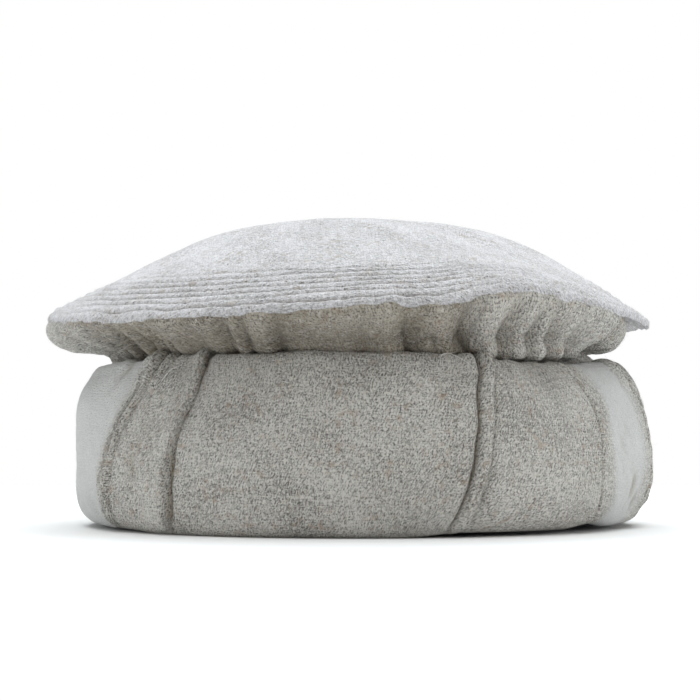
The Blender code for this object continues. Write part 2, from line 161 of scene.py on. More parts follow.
# How far in from the crown's edge the skirt starts
InsetRow = namedtuple("InsetRow", "azimuth inset")
INSETS = table(InsetRow, [
    (-180, 0.8), (-125, 0.4), (-90, 0.0), (0, 0.0), (50, 0.1), (58, 1.0), (66, 5.4), (74, 9.2),
    (82, 10.8), (90, 10.2), (100, 6.2), (115, 3.0), (145, 1.0)
], in_mm="inset")
BagRow = namedtuple("BagRow", "azimuth share")
BAG = table(BagRow, [
    (-130, 0.5), (-90, 1.0), (-68, 0.8), (-48, 0.25), (-30, 0.05), (0, 0.05), (30, 0.10), (52, 0.20),
    (66, 0.85), (90, 0.90), (130, 0.5), (180, 0.3)
])
TubeRow = namedtuple("TubeRow", "height out gather")
TUBE = table(TubeRow, [
    (64.2, 2.0, 0.60), (60.5, 0.3, 0.40), (52.0, 0.0, 0.20), (30.0, 0.0, 0.00)
], in_mm="height out")
# How far a valley goes in and up, for the skirt's flat form and for its full one
ValleyRow = namedtuple("ValleyRow", "inwards upwards")
FLAT_VALLEY, FULL_VALLEY = ValleyRow(0.95, 0.40), ValleyRow(0.55, 0.85)

# Gathers: each valley's azimuth at the head, how far it leans by the rim, its half width, its depth at the
# head, how far up towards the rim it reaches, and how much wider its +X side is
FoldRow = namedtuple("FoldRow", "azimuth lean width depth reach skew")
FRONT_FOLDS = table(FoldRow, [
    (-86.0, 4.0, 5.0, 2.6, 0.8, 0.0), (-77.0, 6.0, 4.5, 3.2, 1.0, 0.2), (-69.0, 7.0, 4.5, 4.2, 1.1, 0.2),
    (-61.5, 8.0, 4.6, 6.0, 1.4, 0.3), (-54.0, 7.0, 4.2, 6.2, 1.6, 0.3), (-47.0, 4.5, 3.6, 5.8, 1.6, 0.2),
    (-43.0, 5.0, 2.8, 4.6, 1.4, 0.1), (-39.5, 3.0, 2.4, 3.0, 1.2, 0.0), (-30.5, 2.0, 5.2, 2.4, 1.2, 0.0),
    (-25.3, 4.0, 3.2, 4.8, 1.7, -0.3), (-21.2, 3.0, 2.4, 3.8, 1.7, 0.1), (-15.2, 3.0, 4.8, 4.8, 1.7, 0.5),
    (-8.0, 2.0, 4.0, 1.8, 0.9, 0.0), (2.0, 0.0, 3.6, 2.0, 0.9, 0.0), (10.5, -0.5, 4.4, 5.2, 1.7, 0.3),
    (17.0, -3.0, 3.2, 2.4, 1.1, 0.0), (24.2, -4.5, 4.6, 5.4, 1.7, -0.3), (31.0, -1.0, 4.4, 5.2, 1.5, 0.3),
    (38.5, -2.0, 3.8, 4.2, 1.3, -0.2), (45.5, -6.0, 4.2, 4.8, 1.5, 0.2), (51.0, -5.0, 3.4, 3.4, 1.1, 0.0),
    (58.5, 1.5, 4.6, 7.4, 1.2, 0.3), (72.0, 0.0, 3.8, 3.0, 0.8, 0.0), (81.0, 0.0, 4.6, 3.4, 0.9, 0.0)
], in_mm="depth")
BACK_FOLDS = 22
BACK_FIRST, BACK_LAST = 89.0, 267.0
BACK_FOLD = FoldRow(0.0, 0.0, 4.2, 4.4 * MM, 1.2, 0.0)
BACK_VARIED = FoldRow(1.8, 4.0, 0.8, 1.0 * MM, 0.15, 0.35)
BACK_WAVES = FoldRow(2.4, 1.3, 1.7, 3.1, 2.1, 0.9)  # radians from one fold to the next
FOLD_SHARPNESS = 1.35  # 1 is a straight-sided valley, and more is a hollow one with a sharp bottom
FOLD_SPREAD = 0.25  # how much wider a fold is at the rim
FOLD_FADE, FOLD_LEFT = (0.25, 1.15), 0.15  # where it fades, in shares of its reach, and what is left

# The roll of the brim: the middle of its outermost cloth, as distance out from ROLL_FACE and height
RollRow = namedtuple("RollRow", "out height")
ROLL = table(RollRow, [
    (-1.7, 12.0), (-1.2, 5.5), (0.9, 2.3), (4.6, 1.25), (10.0, 1.25), (13.8, 4.1), (17.0, 11.3),
    (18.6, 24.0), (17.7, 37.8), (15.9, 50.6), (12.5, 59.1), (8.2, 64.2), (3.9, 63.8), (2.0, 58.0),
    (1.6, 40.0), (1.6, 15.0)
], in_mm="out height")
# Lumps of the brim, each with its spread in degrees and in height
BulgeRow = namedtuple("BulgeRow", "azimuth height turn spread rise")
BULGES = table(BulgeRow, [
    (-92, 54.0, 48, 18.0, 0.7), (-92, 24.0, 40, 22.0, -1.9), (92, 26.0, 44, 26.0, 0.9),
    (92, 4.0, 40, 14.0, -0.9), (-44, 44.0, 9, 30.0, 1.0), (-27, 40.0, 10, 34.0, -1.2),
    (60, 34.0, 14, 34.0, -0.9), (150, 40.0, 30, 30.0, 1.2), (205, 30.0, 26, 30.0, -1.2)
], in_mm="height spread rise")
TopRow = namedtuple("TopRow", "azimuth rise")
TOP = table(TopRow, [
    (-90, -3.2), (-45, -0.7), (0, 0.6), (18, 0.0), (30, -2.2), (48, -2.8), (64, -1.8), (78, -0.8),
    (90, 0.0), (180, -0.8)
], in_mm="rise")
TOP_FADE = 30.0 * MM
LiftRow = namedtuple("LiftRow", "first last ramp rise")
LIFTS = table(LiftRow, [
    (7, 94, 13, 1.8), (45, 63, 8, 1.5), (-98, -41, 16, 1.2), (140, 200, 20, 1.6)
], in_mm="rise")
LIFT_FADE = 18.0 * MM

# Creases of the brim: azimuths at five heights from top to foot, and the profile across each
CreaseRow = namedtuple("CreaseRow", "top upper middle lower foot profile")
CREASE_HEIGHTS = (66 * MM, 50 * MM, 33 * MM, 17 * MM, 0 * MM)
# Profiles: distance across the crease in the direction of rising azimuth, and how far the cloth stands out
ProfileRow = namedtuple("ProfileRow", "across rise")
WELT = table(ProfileRow, [
    (-7.0, 0.0), (-3.2, 0.6), (-1.2, 0.3), (-0.5, -0.9), (0.0, -1.9), (0.5, -0.7), (1.1, 1.2), (2.2, 2.1),
    (4.0, 2.5), (4.8, 1.9), (5.2, 0.4), (5.7, -1.1), (6.4, -0.6), (9.0, 0.0)
], in_mm="across rise")
TUCK = table(ProfileRow, [
    (-13.0, 0.0), (-8.0, 0.9), (-4.5, 1.8), (-2.4, 2.7), (-1.2, 2.6), (-0.6, 1.4), (-0.1, -0.9),
    (0.4, -1.4), (1.2, -0.7), (4.5, 0.0)
], in_mm="across rise")
SEAM = table(ProfileRow, [
    (-7.0, 0.0), (-3.6, 0.9), (-2.4, 1.2), (-1.5, 0.2), (-0.9, -1.4), (-0.3, -0.2), (0.6, 1.3),
    (2.0, 1.6), (3.0, 0.6), (3.6, -0.6), (4.6, 0.1), (7.0, 0.0)
], in_mm="across rise")
STITCHED = table(ProfileRow, [
    (-4.0, 0.0), (-2.0, 0.4), (-1.0, 0.1), (0.0, -1.1), (1.0, 0.1), (2.0, 0.4), (4.0, 0.0)
], in_mm="across rise")
CREASES = [
    CreaseRow(24.0, 21.6, 21.2, 19.2, 16.0, WELT),
    CreaseRow(-32.5, -33.0, -36.0, -36.5, -38.5, TUCK),
    CreaseRow(-45.0, -48.0, -53.5, -56.0, -58.5, SEAM),
    CreaseRow(44.0, 48.5, 50.5, 51.0, 51.0, STITCHED),
    CreaseRow(66.0, 72.0, 76.0, 75.0, 71.0, SEAM),
    CreaseRow(151.0, 149.0, 148.0, 149.0, 152.0, WELT),
    CreaseRow(-118.0, -121.0, -123.0, -122.0, -119.0, TUCK),
]
CREASE_REACH = 24.0
INNER_FACE = (3 * MM, 9 * MM)
CREASE_TOP = (1 * MM, 6 * MM)  # where a crease fades in over the roll's top, out from the tube
CREASE_FOOT, UNEVEN_FOOT = (1.5 * MM, 8 * MM), (2 * MM, 12 * MM)  # where they fade in above the floor
FOOT = (0 * MM, 12 * MM)
TUBE_LEAN = (30 * MM, 60 * MM)  # the tube's cloth leans with the creases up to these heights

# Short slack folds that run down from the roll's top: azimuth and height of each one's ends, its half
# width and depth
SlackRow = namedtuple("SlackRow", "azimuth height to_azimuth to_height width depth")
SLACK_FOLDS = table(SlackRow, [
    (-44.0, 66, -50.0, 54, 2.0, 1.4), (-41.0, 66, -46.5, 50, 2.2, 1.5), (-38.0, 66, -42.0, 55, 2.0, 1.1),
    (-30.0, 66, -31.5, 58, 2.6, 0.6), (-53.0, 62, -60.0, 50, 2.6, 0.8), (30.0, 65, 27.0, 54, 2.4, 0.5),
    (47.0, 64, 50.0, 52, 2.2, 0.5), (64.0, 64, 66.0, 50, 2.6, 0.6), (62.0, 6, 68.0, 24, 2.4, 0.35),
    (66.0, 5, 72.0, 20, 2.2, 0.3), (-62.0, 6, -66.0, 22, 2.6, 0.6)
], in_mm="height to_height width depth")

SLACK_START = (-4 * MM, 2 * MM)  # where a slack fold sets in, along it
SLACK_BANK, SLACK_BANK_OUT = 0.6, 1.6  # height of the banks beside it, and how many widths out they lie

# Degrees between the tube cloth's columns: round the front, round the back and beside a crease
FRONT_STEP, BACK_STEP, CREASE_STEP = 0.66, 1.4, 0.22
FRONT_SPAN = 96.0  # degrees either side of the front
CREASE_SPAN = 3.2  # degrees either side of a crease
MEASURED_HEIGHT = 33 * MM  # where the cloth's width is measured, round the brim's outer face
ROWS_BEFORE_SKIRT = 6  # rows of the outer face, then of the inner face, on each stretch of the cloth's run
ROWS_SKIRT = 38
ROWS_HIDDEN = 18
ROWS_INSIDE = 24
ROWS_ROLL = 62
ROWS_TOP = 16
ROWS_CREVICE = 6
ROLL_FOOT, ROLL_SHOULDER, ROLL_CREST = 3, 10, 12  # rows of ROLL between those stretches
TubeSpots = namedtuple("TubeSpots", "band neck foot shoulder crest end")
DRAG_LEAN = 2.0  # how much quicker the skirt's fine drag lines change along the cloth than round it

# Painted shade, darker and warmer as with light bounced between the wool, in the hollows: how deep a gather
# is where that is full, between which depths of a crease it sets in, and how strong it is on the skirt's
# front, as painted shadow under the crown, and further at the neck
VALLEY_SHADE, CREASE_SHADE = 10.0 * MM, (0.5 * MM, 1.6 * MM)
SKIRT_SHADE, NECK_SHADE = 0.72, 1.20
FRONT_END = 1.6  # the skirt's front ends where the stitching's slack times this is 1

WEAVE_PITCH = 1.10 * MM
# Beyond these degrees from the front, and past this much of its run, the tube's cloth gets painted rim
# light:
# paler, cooler and with its grain smoothed out, as where side light grazes it
RIM_LIT_SIDES = (53.5, 57.0)
RIM_LIT_END = (70.0, 76.5)  # and it ends here, at the right
RIM_LIT_RUN = (100 * MM, 125 * MM)


def turned(azimuth, centre):
    """Signed angle from centre to azimuth, from -180 to 180 degrees."""
    return (np.asarray(azimuth, float) - centre + 180.0) % 360.0 - 180.0


def hump(distance, reach):
    """1 at no distance, falling smoothly to 0 at reach."""
    share = np.clip(np.abs(distance) / reach, 0.0, 1.0)
    return np.cos(share * math.pi / 2) ** 2


def eased(x, low, high):
    """0 below low, 1 above high, and smooth between them."""
    share = np.clip((x - low) / (high - low), 0.0, 1.0)
    return share * share * (3 - 2 * share)


def blend(first, second, share):
    """From first, where share is 0, to second, where it is 1."""
    return first + (second - first) * share


def through(at, places, values):
    """A smooth curve through the values at rising places, read at the points at."""
    places = np.asarray(places, float)
    values = np.asarray(values, float)
    slopes = np.gradient(values, places, axis=0)
    k = np.clip(np.searchsorted(places, at, side="right") - 1, 0, len(places) - 2)
    run = places[k + 1] - places[k]
    t = (at - places[k]) / run
    extra = (1,) * (values.ndim - 1)
    run = np.reshape(run, np.shape(run) + extra)
    t = np.reshape(t, np.shape(t) + extra)
    start = (1 + 2 * t) * (1 - t) ** 2 * values[k] + t * (1 - t) ** 2 * run * slopes[k]
    end = t * t * (3 - 2 * t) * values[k + 1] + t * t * (t - 1) * run * slopes[k + 1]
    return start + end


def around(azimuth, rows, column):
    """A smooth closed curve through one column of rows that are placed by azimuth."""
    rows = sorted(rows, key=lambda row: row.azimuth)
    places = [row.azimuth + turn for turn in (-360, 0, 360) for row in rows]
    values = [getattr(row, column) for _ in range(3) for row in rows]
    return through(turned(azimuth, 0.0), places, values)


def unit(vectors):
    """Vectors brought to a length of 1."""
    return vectors / np.linalg.norm(vectors, axis=-1, keepdims=True)


def unevenness(azimuth, along, field, k=0):
    """A smooth random field that closes round the hat, about as large as its size either way. k picks one
    of several that are alike.
    """
    random = np.random.default_rng(field.seed + k)
    total = 0.0
    for length in field.lengths:
        for _ in range(WAVES_EACH):
            turns = max(1, round(2 * math.pi * BRIM_RADIUS / length * random.uniform(*WAVE_SPREAD)))
            lift = random.uniform(-1.0, 1.0) * 2 * math.pi / length
            start = random.uniform(0, 2 * math.pi)
            total = total + np.sin(np.radians(azimuth) * turns + along * lift + start)
    return field.size * (total / math.sqrt(WAVES_EACH * len(field.lengths)))


def shift_at(height):
    """How far the hat's middle lies towards +X at a height."""
    return BRIM_SHIFT * (1 - eased(height, SHIFT_LOW, SHIFT_HIGH))


def placed(azimuth, radius, height, shift=None):
    """Points in space from azimuths, radii and heights."""
    angle = np.radians(azimuth)
    sideways = shift_at(height) if shift is None else shift
    x = sideways + radius * np.sin(angle)
    y = -DEPTH_SHARE * radius * np.cos(angle)
    return np.stack(np.broadcast_arrays(x, y, height), axis=-1)


def crown_middle(azimuth, share):
    """Middle of the crown's cloth at a share of the way from its top to its edge."""
    rise = through(share, [row.share for row in DOME], [row.height for row in DOME])
    height = RIM_HEIGHT + (CROWN_HEIGHT - RIM_HEIGHT) * rise
    height = height + around(azimuth, RIM, "rise") * eased(share, RIM_WAVE_START, 1.0)
    for lump in CROWN_LUMPS:
        angle = np.radians(azimuth - lump.azimuth)
        apart = np.hypot(share * np.cos(angle) - lump.share, share * np.sin(angle))
        height = height + lump.rise * hump(apart, lump.spread)
    edge = np.clip(1 - (1 - share) * RIM_RADIUS / LIP_CURL, 0.0, None)
    height = height - LIP_DROP * edge ** 2 * (1 - hump(turned(azimuth, FLAT_TIP[0]), FLAT_TIP[1]))
    height = height + np.minimum(edge, 1.0) * unevenness(azimuth, 0.0, LIP_WANDER)
    return placed(azimuth, share * RIM_RADIUS, height, shift=0.0)


def crown_normals(azimuth, share):
    """Outward normals of the crown's middle."""
    turn, step = 0.2, 0.002
    across = crown_middle(azimuth + turn, share) - crown_middle(azimuth - turn, share)
    along = crown_middle(azimuth, share + step) - crown_middle(azimuth, share - step)
    return unit(np.cross(along, across))


def stitch_wander(azimuth, k):
    """How far a row of stitching strays from its plain place."""
    return unevenness(azimuth, 0.0, ROW_WANDER, k)


def row_hold(azimuth, row):
    """How firmly a row's stitching holds the cloth down. The rows further in go slack nearer the front."""
    inward = row.in_from_edge / STITCH_ROWS[-1].in_from_edge
    azimuth = turned(azimuth, 0.0)
    early = 1 + EARLY_SLACK * inward ** 2 * hump(azimuth, EARLY_REACH)
    return row.strength * (1 - around(azimuth * early, EASE, "slack"))


def quilting(azimuth, from_edge):
    """How far the quilted cloth stands out at a distance in from the crown's edge."""
    relief = 0.0 * azimuth + 0.0 * from_edge
    turns = round(2 * math.pi * RIM_RADIUS / STITCH_PITCH)
    for k, row in enumerate(STITCH_ROWS):
        apart = from_edge - row.in_from_edge - stitch_wander(azimuth, k)
        dimple = 0.5 + 0.5 * np.cos(np.radians(azimuth) * turns + k * ROW_PHASE)
        deep = (1 + unevenness(azimuth, 0.0, STITCH_PULL, k)) * (GROOVE_DEPTH + STITCH_DIMPLE * dimple)
        relief = relief - deep * row_hold(azimuth, row) * np.exp(-(apart / (GROOVE_WIDTH / 2)) ** 2)
    first, last = STITCH_ROWS[0].in_from_edge, STITCH_ROWS[-1].in_from_edge
    pitch = (last - first) / (len(STITCH_ROWS) - 1)
    inside = eased(from_edge, first, first + PUFF_START) * (1 - eased(from_edge, last - PUFF_END, last))
    swell = PUFF * np.sin((from_edge - first) / pitch * math.pi) ** 2
    return relief + swell * (1 + unevenness(azimuth, from_edge, BAND_PUCKER)) * inside


def groove_share(azimuth, from_edge):
    """How far into a groove of the quilting a spot lies, 0 to 1. It sets the painted shade along the
    grooves.
    """
    share = 0.0 * azimuth
    for k, row in enumerate(STITCH_ROWS):
        apart = from_edge - row.in_from_edge - stitch_wander(azimuth, k)
        share = np.maximum(share, row_hold(azimuth, row) * np.exp(-(apart / (LINE_WIDTH / 2)) ** 2))
    return share


def rounded_edge(from_edge):
    """How far the outer face stands above the cloth's middle. Its edge comes down to the underside."""
    share = np.clip(1 - from_edge / LIP_WIDTH, 0.0, 1.0)
    return CLOTH * (np.sqrt(1 - share ** 2 * LIP_ROUND) - 0.5)


def crown_outside(azimuth, share):
    """The crown's outer face, with its quilting and the slack of the plain cloth."""
    from_edge = (1 - share) * RIM_RADIUS
    plain = eased(from_edge, *SLACK_FROM) * eased(share, *SLACK_TO)
    relief = quilting(azimuth, from_edge) + plain * unevenness(azimuth, share * RIM_RADIUS, CROWN_SLACK)
    relief = relief + rounded_edge(from_edge)
    return crown_middle(azimuth, share) + crown_normals(azimuth, share) * relief[..., None]


def crown_inside(azimuth, share):
    """The crown's inner face."""
    return crown_middle(azimuth, share) - crown_normals(azimuth, share) * CLOTH / 2


Ring = namedtuple("Ring", "azimuths points share side")


def columns_at(share):
    """How many columns a ring of the crown has."""
    for row in CROWN_RINGS:
        if share < row.share:
            return row.columns
    return CROWN_COLUMNS


def even_azimuths(count):
    """Evenly spread azimuths round the hat."""
    return np.arange(count) * 360.0 / count - 180.0


def crown_rings():
    """The crown's rings from its top outside, round its edge, to its top inside."""
    band_start = 1 - (QUILTED_BAND + BAND_MARGIN) / RIM_RADIUS
    dome = np.arange(FIRST_RING, band_start, DOME_STEP)
    band = np.linspace(band_start, 1.0, round((1 - band_start) * RIM_RADIUS / BAND_STEP) + 1)
    rings = []
    for share in np.concatenate([dome, band]):
        azimuths = even_azimuths(columns_at(share))
        rings.append(Ring(azimuths, crown_outside(azimuths, share + 0 * azimuths), share, 0.0))
    azimuths = even_azimuths(CROWN_COLUMNS)
    edge = np.ones_like(azimuths)
    outside = crown_outside(azimuths, edge)
    inside = crown_inside(azimuths, edge)
    middle = (outside + inside) / 2
    half = (outside - inside) / 2
    outward = placed(azimuths, np.linalg.norm(half, axis=-1), 0.0 * azimuths, shift=0.0)
    for k in range(1, LIP_STEPS):
        angle = math.pi * k / LIP_STEPS
        points = middle + half * math.cos(angle) + outward * math.sin(angle)
        rings.append(Ring(azimuths, points, 1.0, k / LIP_STEPS))
    for share in np.linspace(1.0, LAST_RING, INSIDE_RINGS):
        azimuths = even_azimuths(columns_at(share))
        rings.append(Ring(azimuths, crown_inside(azimuths, share + 0 * azimuths), share, 1.0))
    return rings


def bridged(first, first_count, second, second_count):
    """Faces between two rings, as corner indices. One ring may have twice, or half, the other's columns."""
    faces = []
    if first_count == second_count:
        for c in range(first_count):
            beside = (c + 1) % first_count
            faces.append((first + c, second + c, second + beside, first + beside))
        return faces
    swap = first_count > second_count
    fine, coarse = (first, second) if swap else (second, first)
    fine_count, coarse_count = max(first_count, second_count), min(first_count, second_count)
    ratio = fine_count // coarse_count
    for c in range(coarse_count):
        here, beside = coarse + c, coarse + (c + 1) % coarse_count
        fan = [fine + (c * ratio + k) % fine_count for k in range(ratio + 1)]
        half = ratio // 2
        for k in range(ratio):
            corner = here if k < half else beside
            face = (fan[k], corner, fan[k + 1])
            faces.append(face if swap else face[::-1])
        face = (here, beside, fan[half])
        faces.append(face if swap else face[::-1])
    return faces


def add_mesh(name, points, faces, material):
    """A smooth mesh object in the scene."""
    mesh = bpy.data.meshes.new(name)
    mesh.from_pydata(np.asarray(points, float).tolist(), [], faces)
    mesh.shade_smooth()
    mesh.materials.append(material)
    made = bpy.data.objects.new(name, mesh)
    bpy.context.scene.collection.objects.link(made)
    return made


def add_cloth(name, points, faces, painted_shades, cloth_uv, bake_uv, material):
    """A cloth's mesh object. Its painted shade is given per point, 1 where that is darkest: deep in a
    groove, a gather or a crease, or at the neck. The two UV functions give each face corner its place on
    the cloth.
    """
    made = add_mesh(name, points, faces, material)
    mesh = made.data
    # each point's painted shade, by which the material darkens and warms the colour
    hollow = mesh.attributes.new(name="Hollow", type="FLOAT", domain="POINT")
    hollow.data.foreach_set("value", np.asarray(painted_shades, float).ravel())
    corners = np.zeros(len(mesh.loops), dtype=np.int64)
    mesh.loops.foreach_get("vertex_index", corners)
    for layer, places in (("Cloth", cloth_uv), ("OFBake", bake_uv)):
        uv = mesh.uv_layers.new(name=layer)
        uv.data.foreach_set("uv", np.asarray(places(corners, mesh), float).ravel())
    return made


def corner_turns(corners, mesh, azimuth_shares):
    """Each corner's share of the way round, unwrapped so that no face spans the join."""
    share = azimuth_shares[corners].copy()
    starts = np.zeros(len(mesh.polygons), dtype=np.int64)
    totals = np.zeros(len(mesh.polygons), dtype=np.int64)
    mesh.polygons.foreach_get("loop_start", starts)
    mesh.polygons.foreach_get("loop_total", totals)
    owner = np.repeat(np.arange(len(starts)), totals)
    highest = np.maximum.reduceat(share, starts)
    wraps = (highest[owner] > JOIN_AFTER) & (share < JOIN_BEFORE)
    return np.where(wraps, share + 1.0, share)


def build_crown(material):
    """The crown: a round of cloth, domed, quilted round its edge, with a thick soft lip."""
    top = Ring(np.array([-180.0]), np.array([(0.0, 0.0, CROWN_HEIGHT + CLOTH / 2)]), 0.0, 0.0)
    under = Ring(top.azimuths, np.array([(0.0, 0.0, CROWN_HEIGHT - CLOTH / 2)]), 0.0, 1.0)
    rings = [top] + crown_rings() + [under]
    counts = [len(ring.azimuths) for ring in rings]
    starts = np.cumsum([0] + counts).tolist()
    points = np.concatenate([ring.points for ring in rings])
    azimuths = np.concatenate([ring.azimuths for ring in rings])
    shares = np.repeat([ring.share for ring in rings], counts)
    sides = np.repeat([ring.side for ring in rings], counts)
    # painted shade along the quilting's grooves, on the outer face only
    painted_shades = np.where(sides == 0, groove_share(azimuths, (1 - shares) * RIM_RADIUS), 0.0)

    faces = [(0, 1 + c, 1 + (c + 1) % counts[1]) for c in range(counts[1])]
    for k in range(1, len(rings) - 2):
        faces.extend(bridged(starts[k], counts[k], starts[k + 1], counts[k + 1]))
    last = starts[-3]
    faces.extend((starts[-2], last + (c + 1) % counts[-2], last + c) for c in range(counts[-2]))

    # How far each ring lies from its side's middle, along the cloth
    first_points = points[starts[:-1]]
    gone = np.concatenate([[0.0], np.cumsum(np.linalg.norm(np.diff(first_points, axis=0), axis=1))])
    turning = gone[int(np.argmax([ring.side > 0.5 for ring in rings]))]
    gone = np.repeat(gone, counts)
    reach = np.where(sides > 0.5, 2 * turning - gone, gone)
    angle = np.radians(azimuths)

    def cloth_uv(corners, mesh):
        return np.stack([reach * np.sin(angle), -reach * np.cos(angle)], axis=-1)[corners]

    def bake_uv(corners, mesh):
        disc = BAKE_RADIUS * np.minimum(shares + BAKE_LIP * sides, 1 + BAKE_LIP)
        middle = np.where(sides > 0.5, 0.75, 0.25)
        flat = np.stack([middle + disc * np.sin(angle), 0.5 + BAKE_TALL * disc * np.cos(angle)], axis=-1)
        return flat[corners]

    return add_cloth("crown_cloth", points, faces, painted_shades, cloth_uv, bake_uv, material)


def all_folds():
    """The front's folds, and plain ones round the back that vary by a slow wave."""
    folds = list(FRONT_FOLDS)
    step = (BACK_LAST - BACK_FIRST) / (BACK_FOLDS - 1)
    for k in range(BACK_FOLDS):
        waves = [math.sin(wave * k) for wave in BACK_WAVES]
        values = [a + b * c for a, b, c in zip(BACK_FOLD, BACK_VARIED, waves)]
        values[0] += BACK_FIRST + k * step
        folds.append(FoldRow(*values))
    return folds


def gather(azimuth, to_rim, folds):
    """How deep the cloth lies between the gathers' ridges. to_rim is 0 at the head and 1 at the rim."""
    deepest = 0.0 * azimuth + 0.0 * to_rim
    for fold in folds:
        apart = turned(azimuth, fold.azimuth + fold.lean * to_rim)
        width = fold.width * np.where(apart > 0, 1 + fold.skew, 1 - fold.skew) * (1 + FOLD_SPREAD * to_rim)
        valley = np.clip(1 - np.abs(apart) / width, 0.0, 1.0) ** FOLD_SHARPNESS
        strength = 1 - eased(to_rim, FOLD_FADE[0] * fold.reach, FOLD_FADE[1] * fold.reach)
        deepest = np.maximum(deepest, fold.depth * valley * (FOLD_LEFT + (1 - FOLD_LEFT) * strength))
    return deepest


def crease_azimuth(crease, height):
    """Where a crease runs at a height."""
    azimuths = [crease.foot, crease.lower, crease.middle, crease.upper, crease.top]
    return through(height, CREASE_HEIGHTS[::-1], azimuths)


def lean_at(column, height):
    """How far the brim's cloth leans from its flat azimuth, beside the creases."""
    lean = 0.0 * column + 0.0 * height
    for crease in CREASES:
        slant = crease_azimuth(crease, np.clip(height, 0.0, CREASE_HEIGHTS[0])) - crease.middle
        lean = lean + slant * hump(turned(column, crease.middle), CREASE_REACH)
    return lean


def roll_bulge(column, height):
    """The brim's broad lumps."""
    bulge = 0.0 * column + 0.0 * height
    for row in BULGES:
        share = hump(turned(column, row.azimuth), row.turn)
        bulge = bulge + row.rise * share * hump(height - row.height, row.spread)
    return bulge


def roll_rise(azimuth, height):
    """How far the roll's top and foot stand above their plain heights."""
    rise = around(azimuth, TOP, "rise") * eased(height, BRIM_HEIGHT - TOP_FADE, BRIM_HEIGHT)
    for lift in LIFTS:
        middle = (lift.first + lift.last) / 2
        inside = (lift.last - lift.first) / 2 - np.abs(turned(azimuth, middle))
        rise = rise + lift.rise * eased(inside, 0.0, lift.ramp) * hump(height, LIFT_FADE)
    return rise


def crease_relief(column, height, out):
    """How far the roll's outer cloth stands out along its creases."""
    relief = 0.0 * column + 0.0 * height
    for k, crease in enumerate(CREASES):
        across = np.radians(turned(column, crease.middle)) * BRIM_RADIUS
        wobble = unevenness(0.0 * column, height, CREASE_WOBBLE, k)
        places = [row.across for row in crease.profile]
        held = np.clip(across + wobble, places[0], places[-1])
        pucker = 1 + unevenness(0.0 * column, height, CREASE_PUCKER, k)
        relief = relief + through(held, places, [row.rise for row in crease.profile]) * pucker
    return relief * eased(out, *CREASE_TOP) * eased(height, *CREASE_FOOT)


def slack_relief(azimuth, height):
    """Short, soft folds where the roll's cloth is slack."""
    relief = 0.0 * azimuth + 0.0 * height
    x = np.radians(azimuth) * BRIM_RADIUS
    for row in SLACK_FOLDS:
        start = np.array([math.radians(row.azimuth) * BRIM_RADIUS, row.height])
        run = np.array([math.radians(row.to_azimuth) * BRIM_RADIUS, row.to_height]) - start
        length = float(np.hypot(*run))
        along = ((x - start[0]) * run[0] + (height - start[1]) * run[1]) / length
        aside = ((x - start[0]) * run[1] - (height - start[1]) * run[0]) / length
        fade = eased(along, *SLACK_START) * (1 - eased(along, 0.5 * length, length))
        bank = SLACK_BANK * hump(np.abs(aside) - SLACK_BANK_OUT * row.width, row.width)
        relief = relief + row.depth * fade * (bank - hump(aside, row.width))
    return relief


def tube_keys(columns, folds):
    """The tube cloth's middle at its key rows: azimuth, radius and height of each."""
    overhang = np.maximum(around(columns, INSETS, "inset"), 0.0)
    bag = around(columns, BAG, "share")
    edge_height = crown_middle(columns, np.ones_like(columns))[:, 2]
    keys = []

    # Turned in under the quilted band, against the crown
    start = 1 - QUILTED_BAND / RIM_RADIUS
    end = 1 - (overhang + BAND_TURN) / RIM_RADIUS
    for share in np.linspace(0.0, 1.0, BAND_KEYS):
        place = blend(start, end, share)
        apart = CLOTH - SEAM_SUNK * share ** 4
        band = crown_middle(columns, place) - crown_normals(columns, place) * apart
        keys.append((columns, np.hypot(band[:, 0], band[:, 1] / DEPTH_SHARE), band[:, 2]))

    # From the rim to the head, leaning between its flat and its full form
    for k, row in enumerate(SKIRT):
        deep = gather(columns, 1 - k / len(SKIRT) + 0 * columns, folds)
        inward = blend(row.flat_in, row.full_in, bag)
        drop = blend(row.flat_drop, row.full_drop, bag)
        inwards = blend(FLAT_VALLEY.inwards, FULL_VALLEY.inwards, bag)
        upwards = blend(FLAT_VALLEY.upwards, FULL_VALLEY.upwards, bag)
        radius = RIM_RADIUS - overhang - inward - inwards * deep * row.gather
        height = edge_height - drop * (edge_height - NECK_HEIGHT) + upwards * deep * row.gather
        keys.append((columns, radius, height))

    # The tube, then the roll
    deep = gather(columns, 0 * columns, folds)
    for row in TUBE:
        lean = lean_at(columns, row.height) * (1 - eased(row.height, *TUBE_LEAN))
        radius = HEAD_RADIUS + CLOTH / 2 + row.out - deep * row.gather
        keys.append((columns + lean, radius, row.height + 0 * columns))
    for row in ROLL:
        azimuth = columns + lean_at(columns, row.height)
        proud = roll_bulge(columns, row.height) * eased(row.out, *INNER_FACE) * eased(row.height, *FOOT)
        radius = ROLL_FACE + row.out + proud
        keys.append((azimuth, radius, row.height + roll_rise(azimuth, row.height)))
    return np.array([np.stack(key, axis=-1) for key in keys])


def tube_columns():
    """Azimuths of the tube cloth's columns, closer together round the front and by its creases."""
    columns = []
    azimuth = -FRONT_SPAN
    while azimuth < 360.0 - FRONT_SPAN:
        columns.append(azimuth)
        if azimuth > FRONT_SPAN:
            azimuth += BACK_STEP
        elif any(abs(azimuth - crease.middle) < CREASE_SPAN for crease in CREASES):
            azimuth += CREASE_STEP
        else:
            azimuth += FRONT_STEP
    return np.array(columns)


def between(knots, first, last, rows):
    """Places along the cloth's run from one key row to another, the last left out."""
    return np.linspace(knots[first], knots[last], rows, endpoint=False)


def grid_normals(grid):
    """Unit normals of a grid of rows and columns that closes round the hat."""
    across = np.roll(grid, -1, axis=1) - np.roll(grid, 1, axis=1)
    along = np.gradient(grid, axis=0)
    return unit(np.cross(along, across))


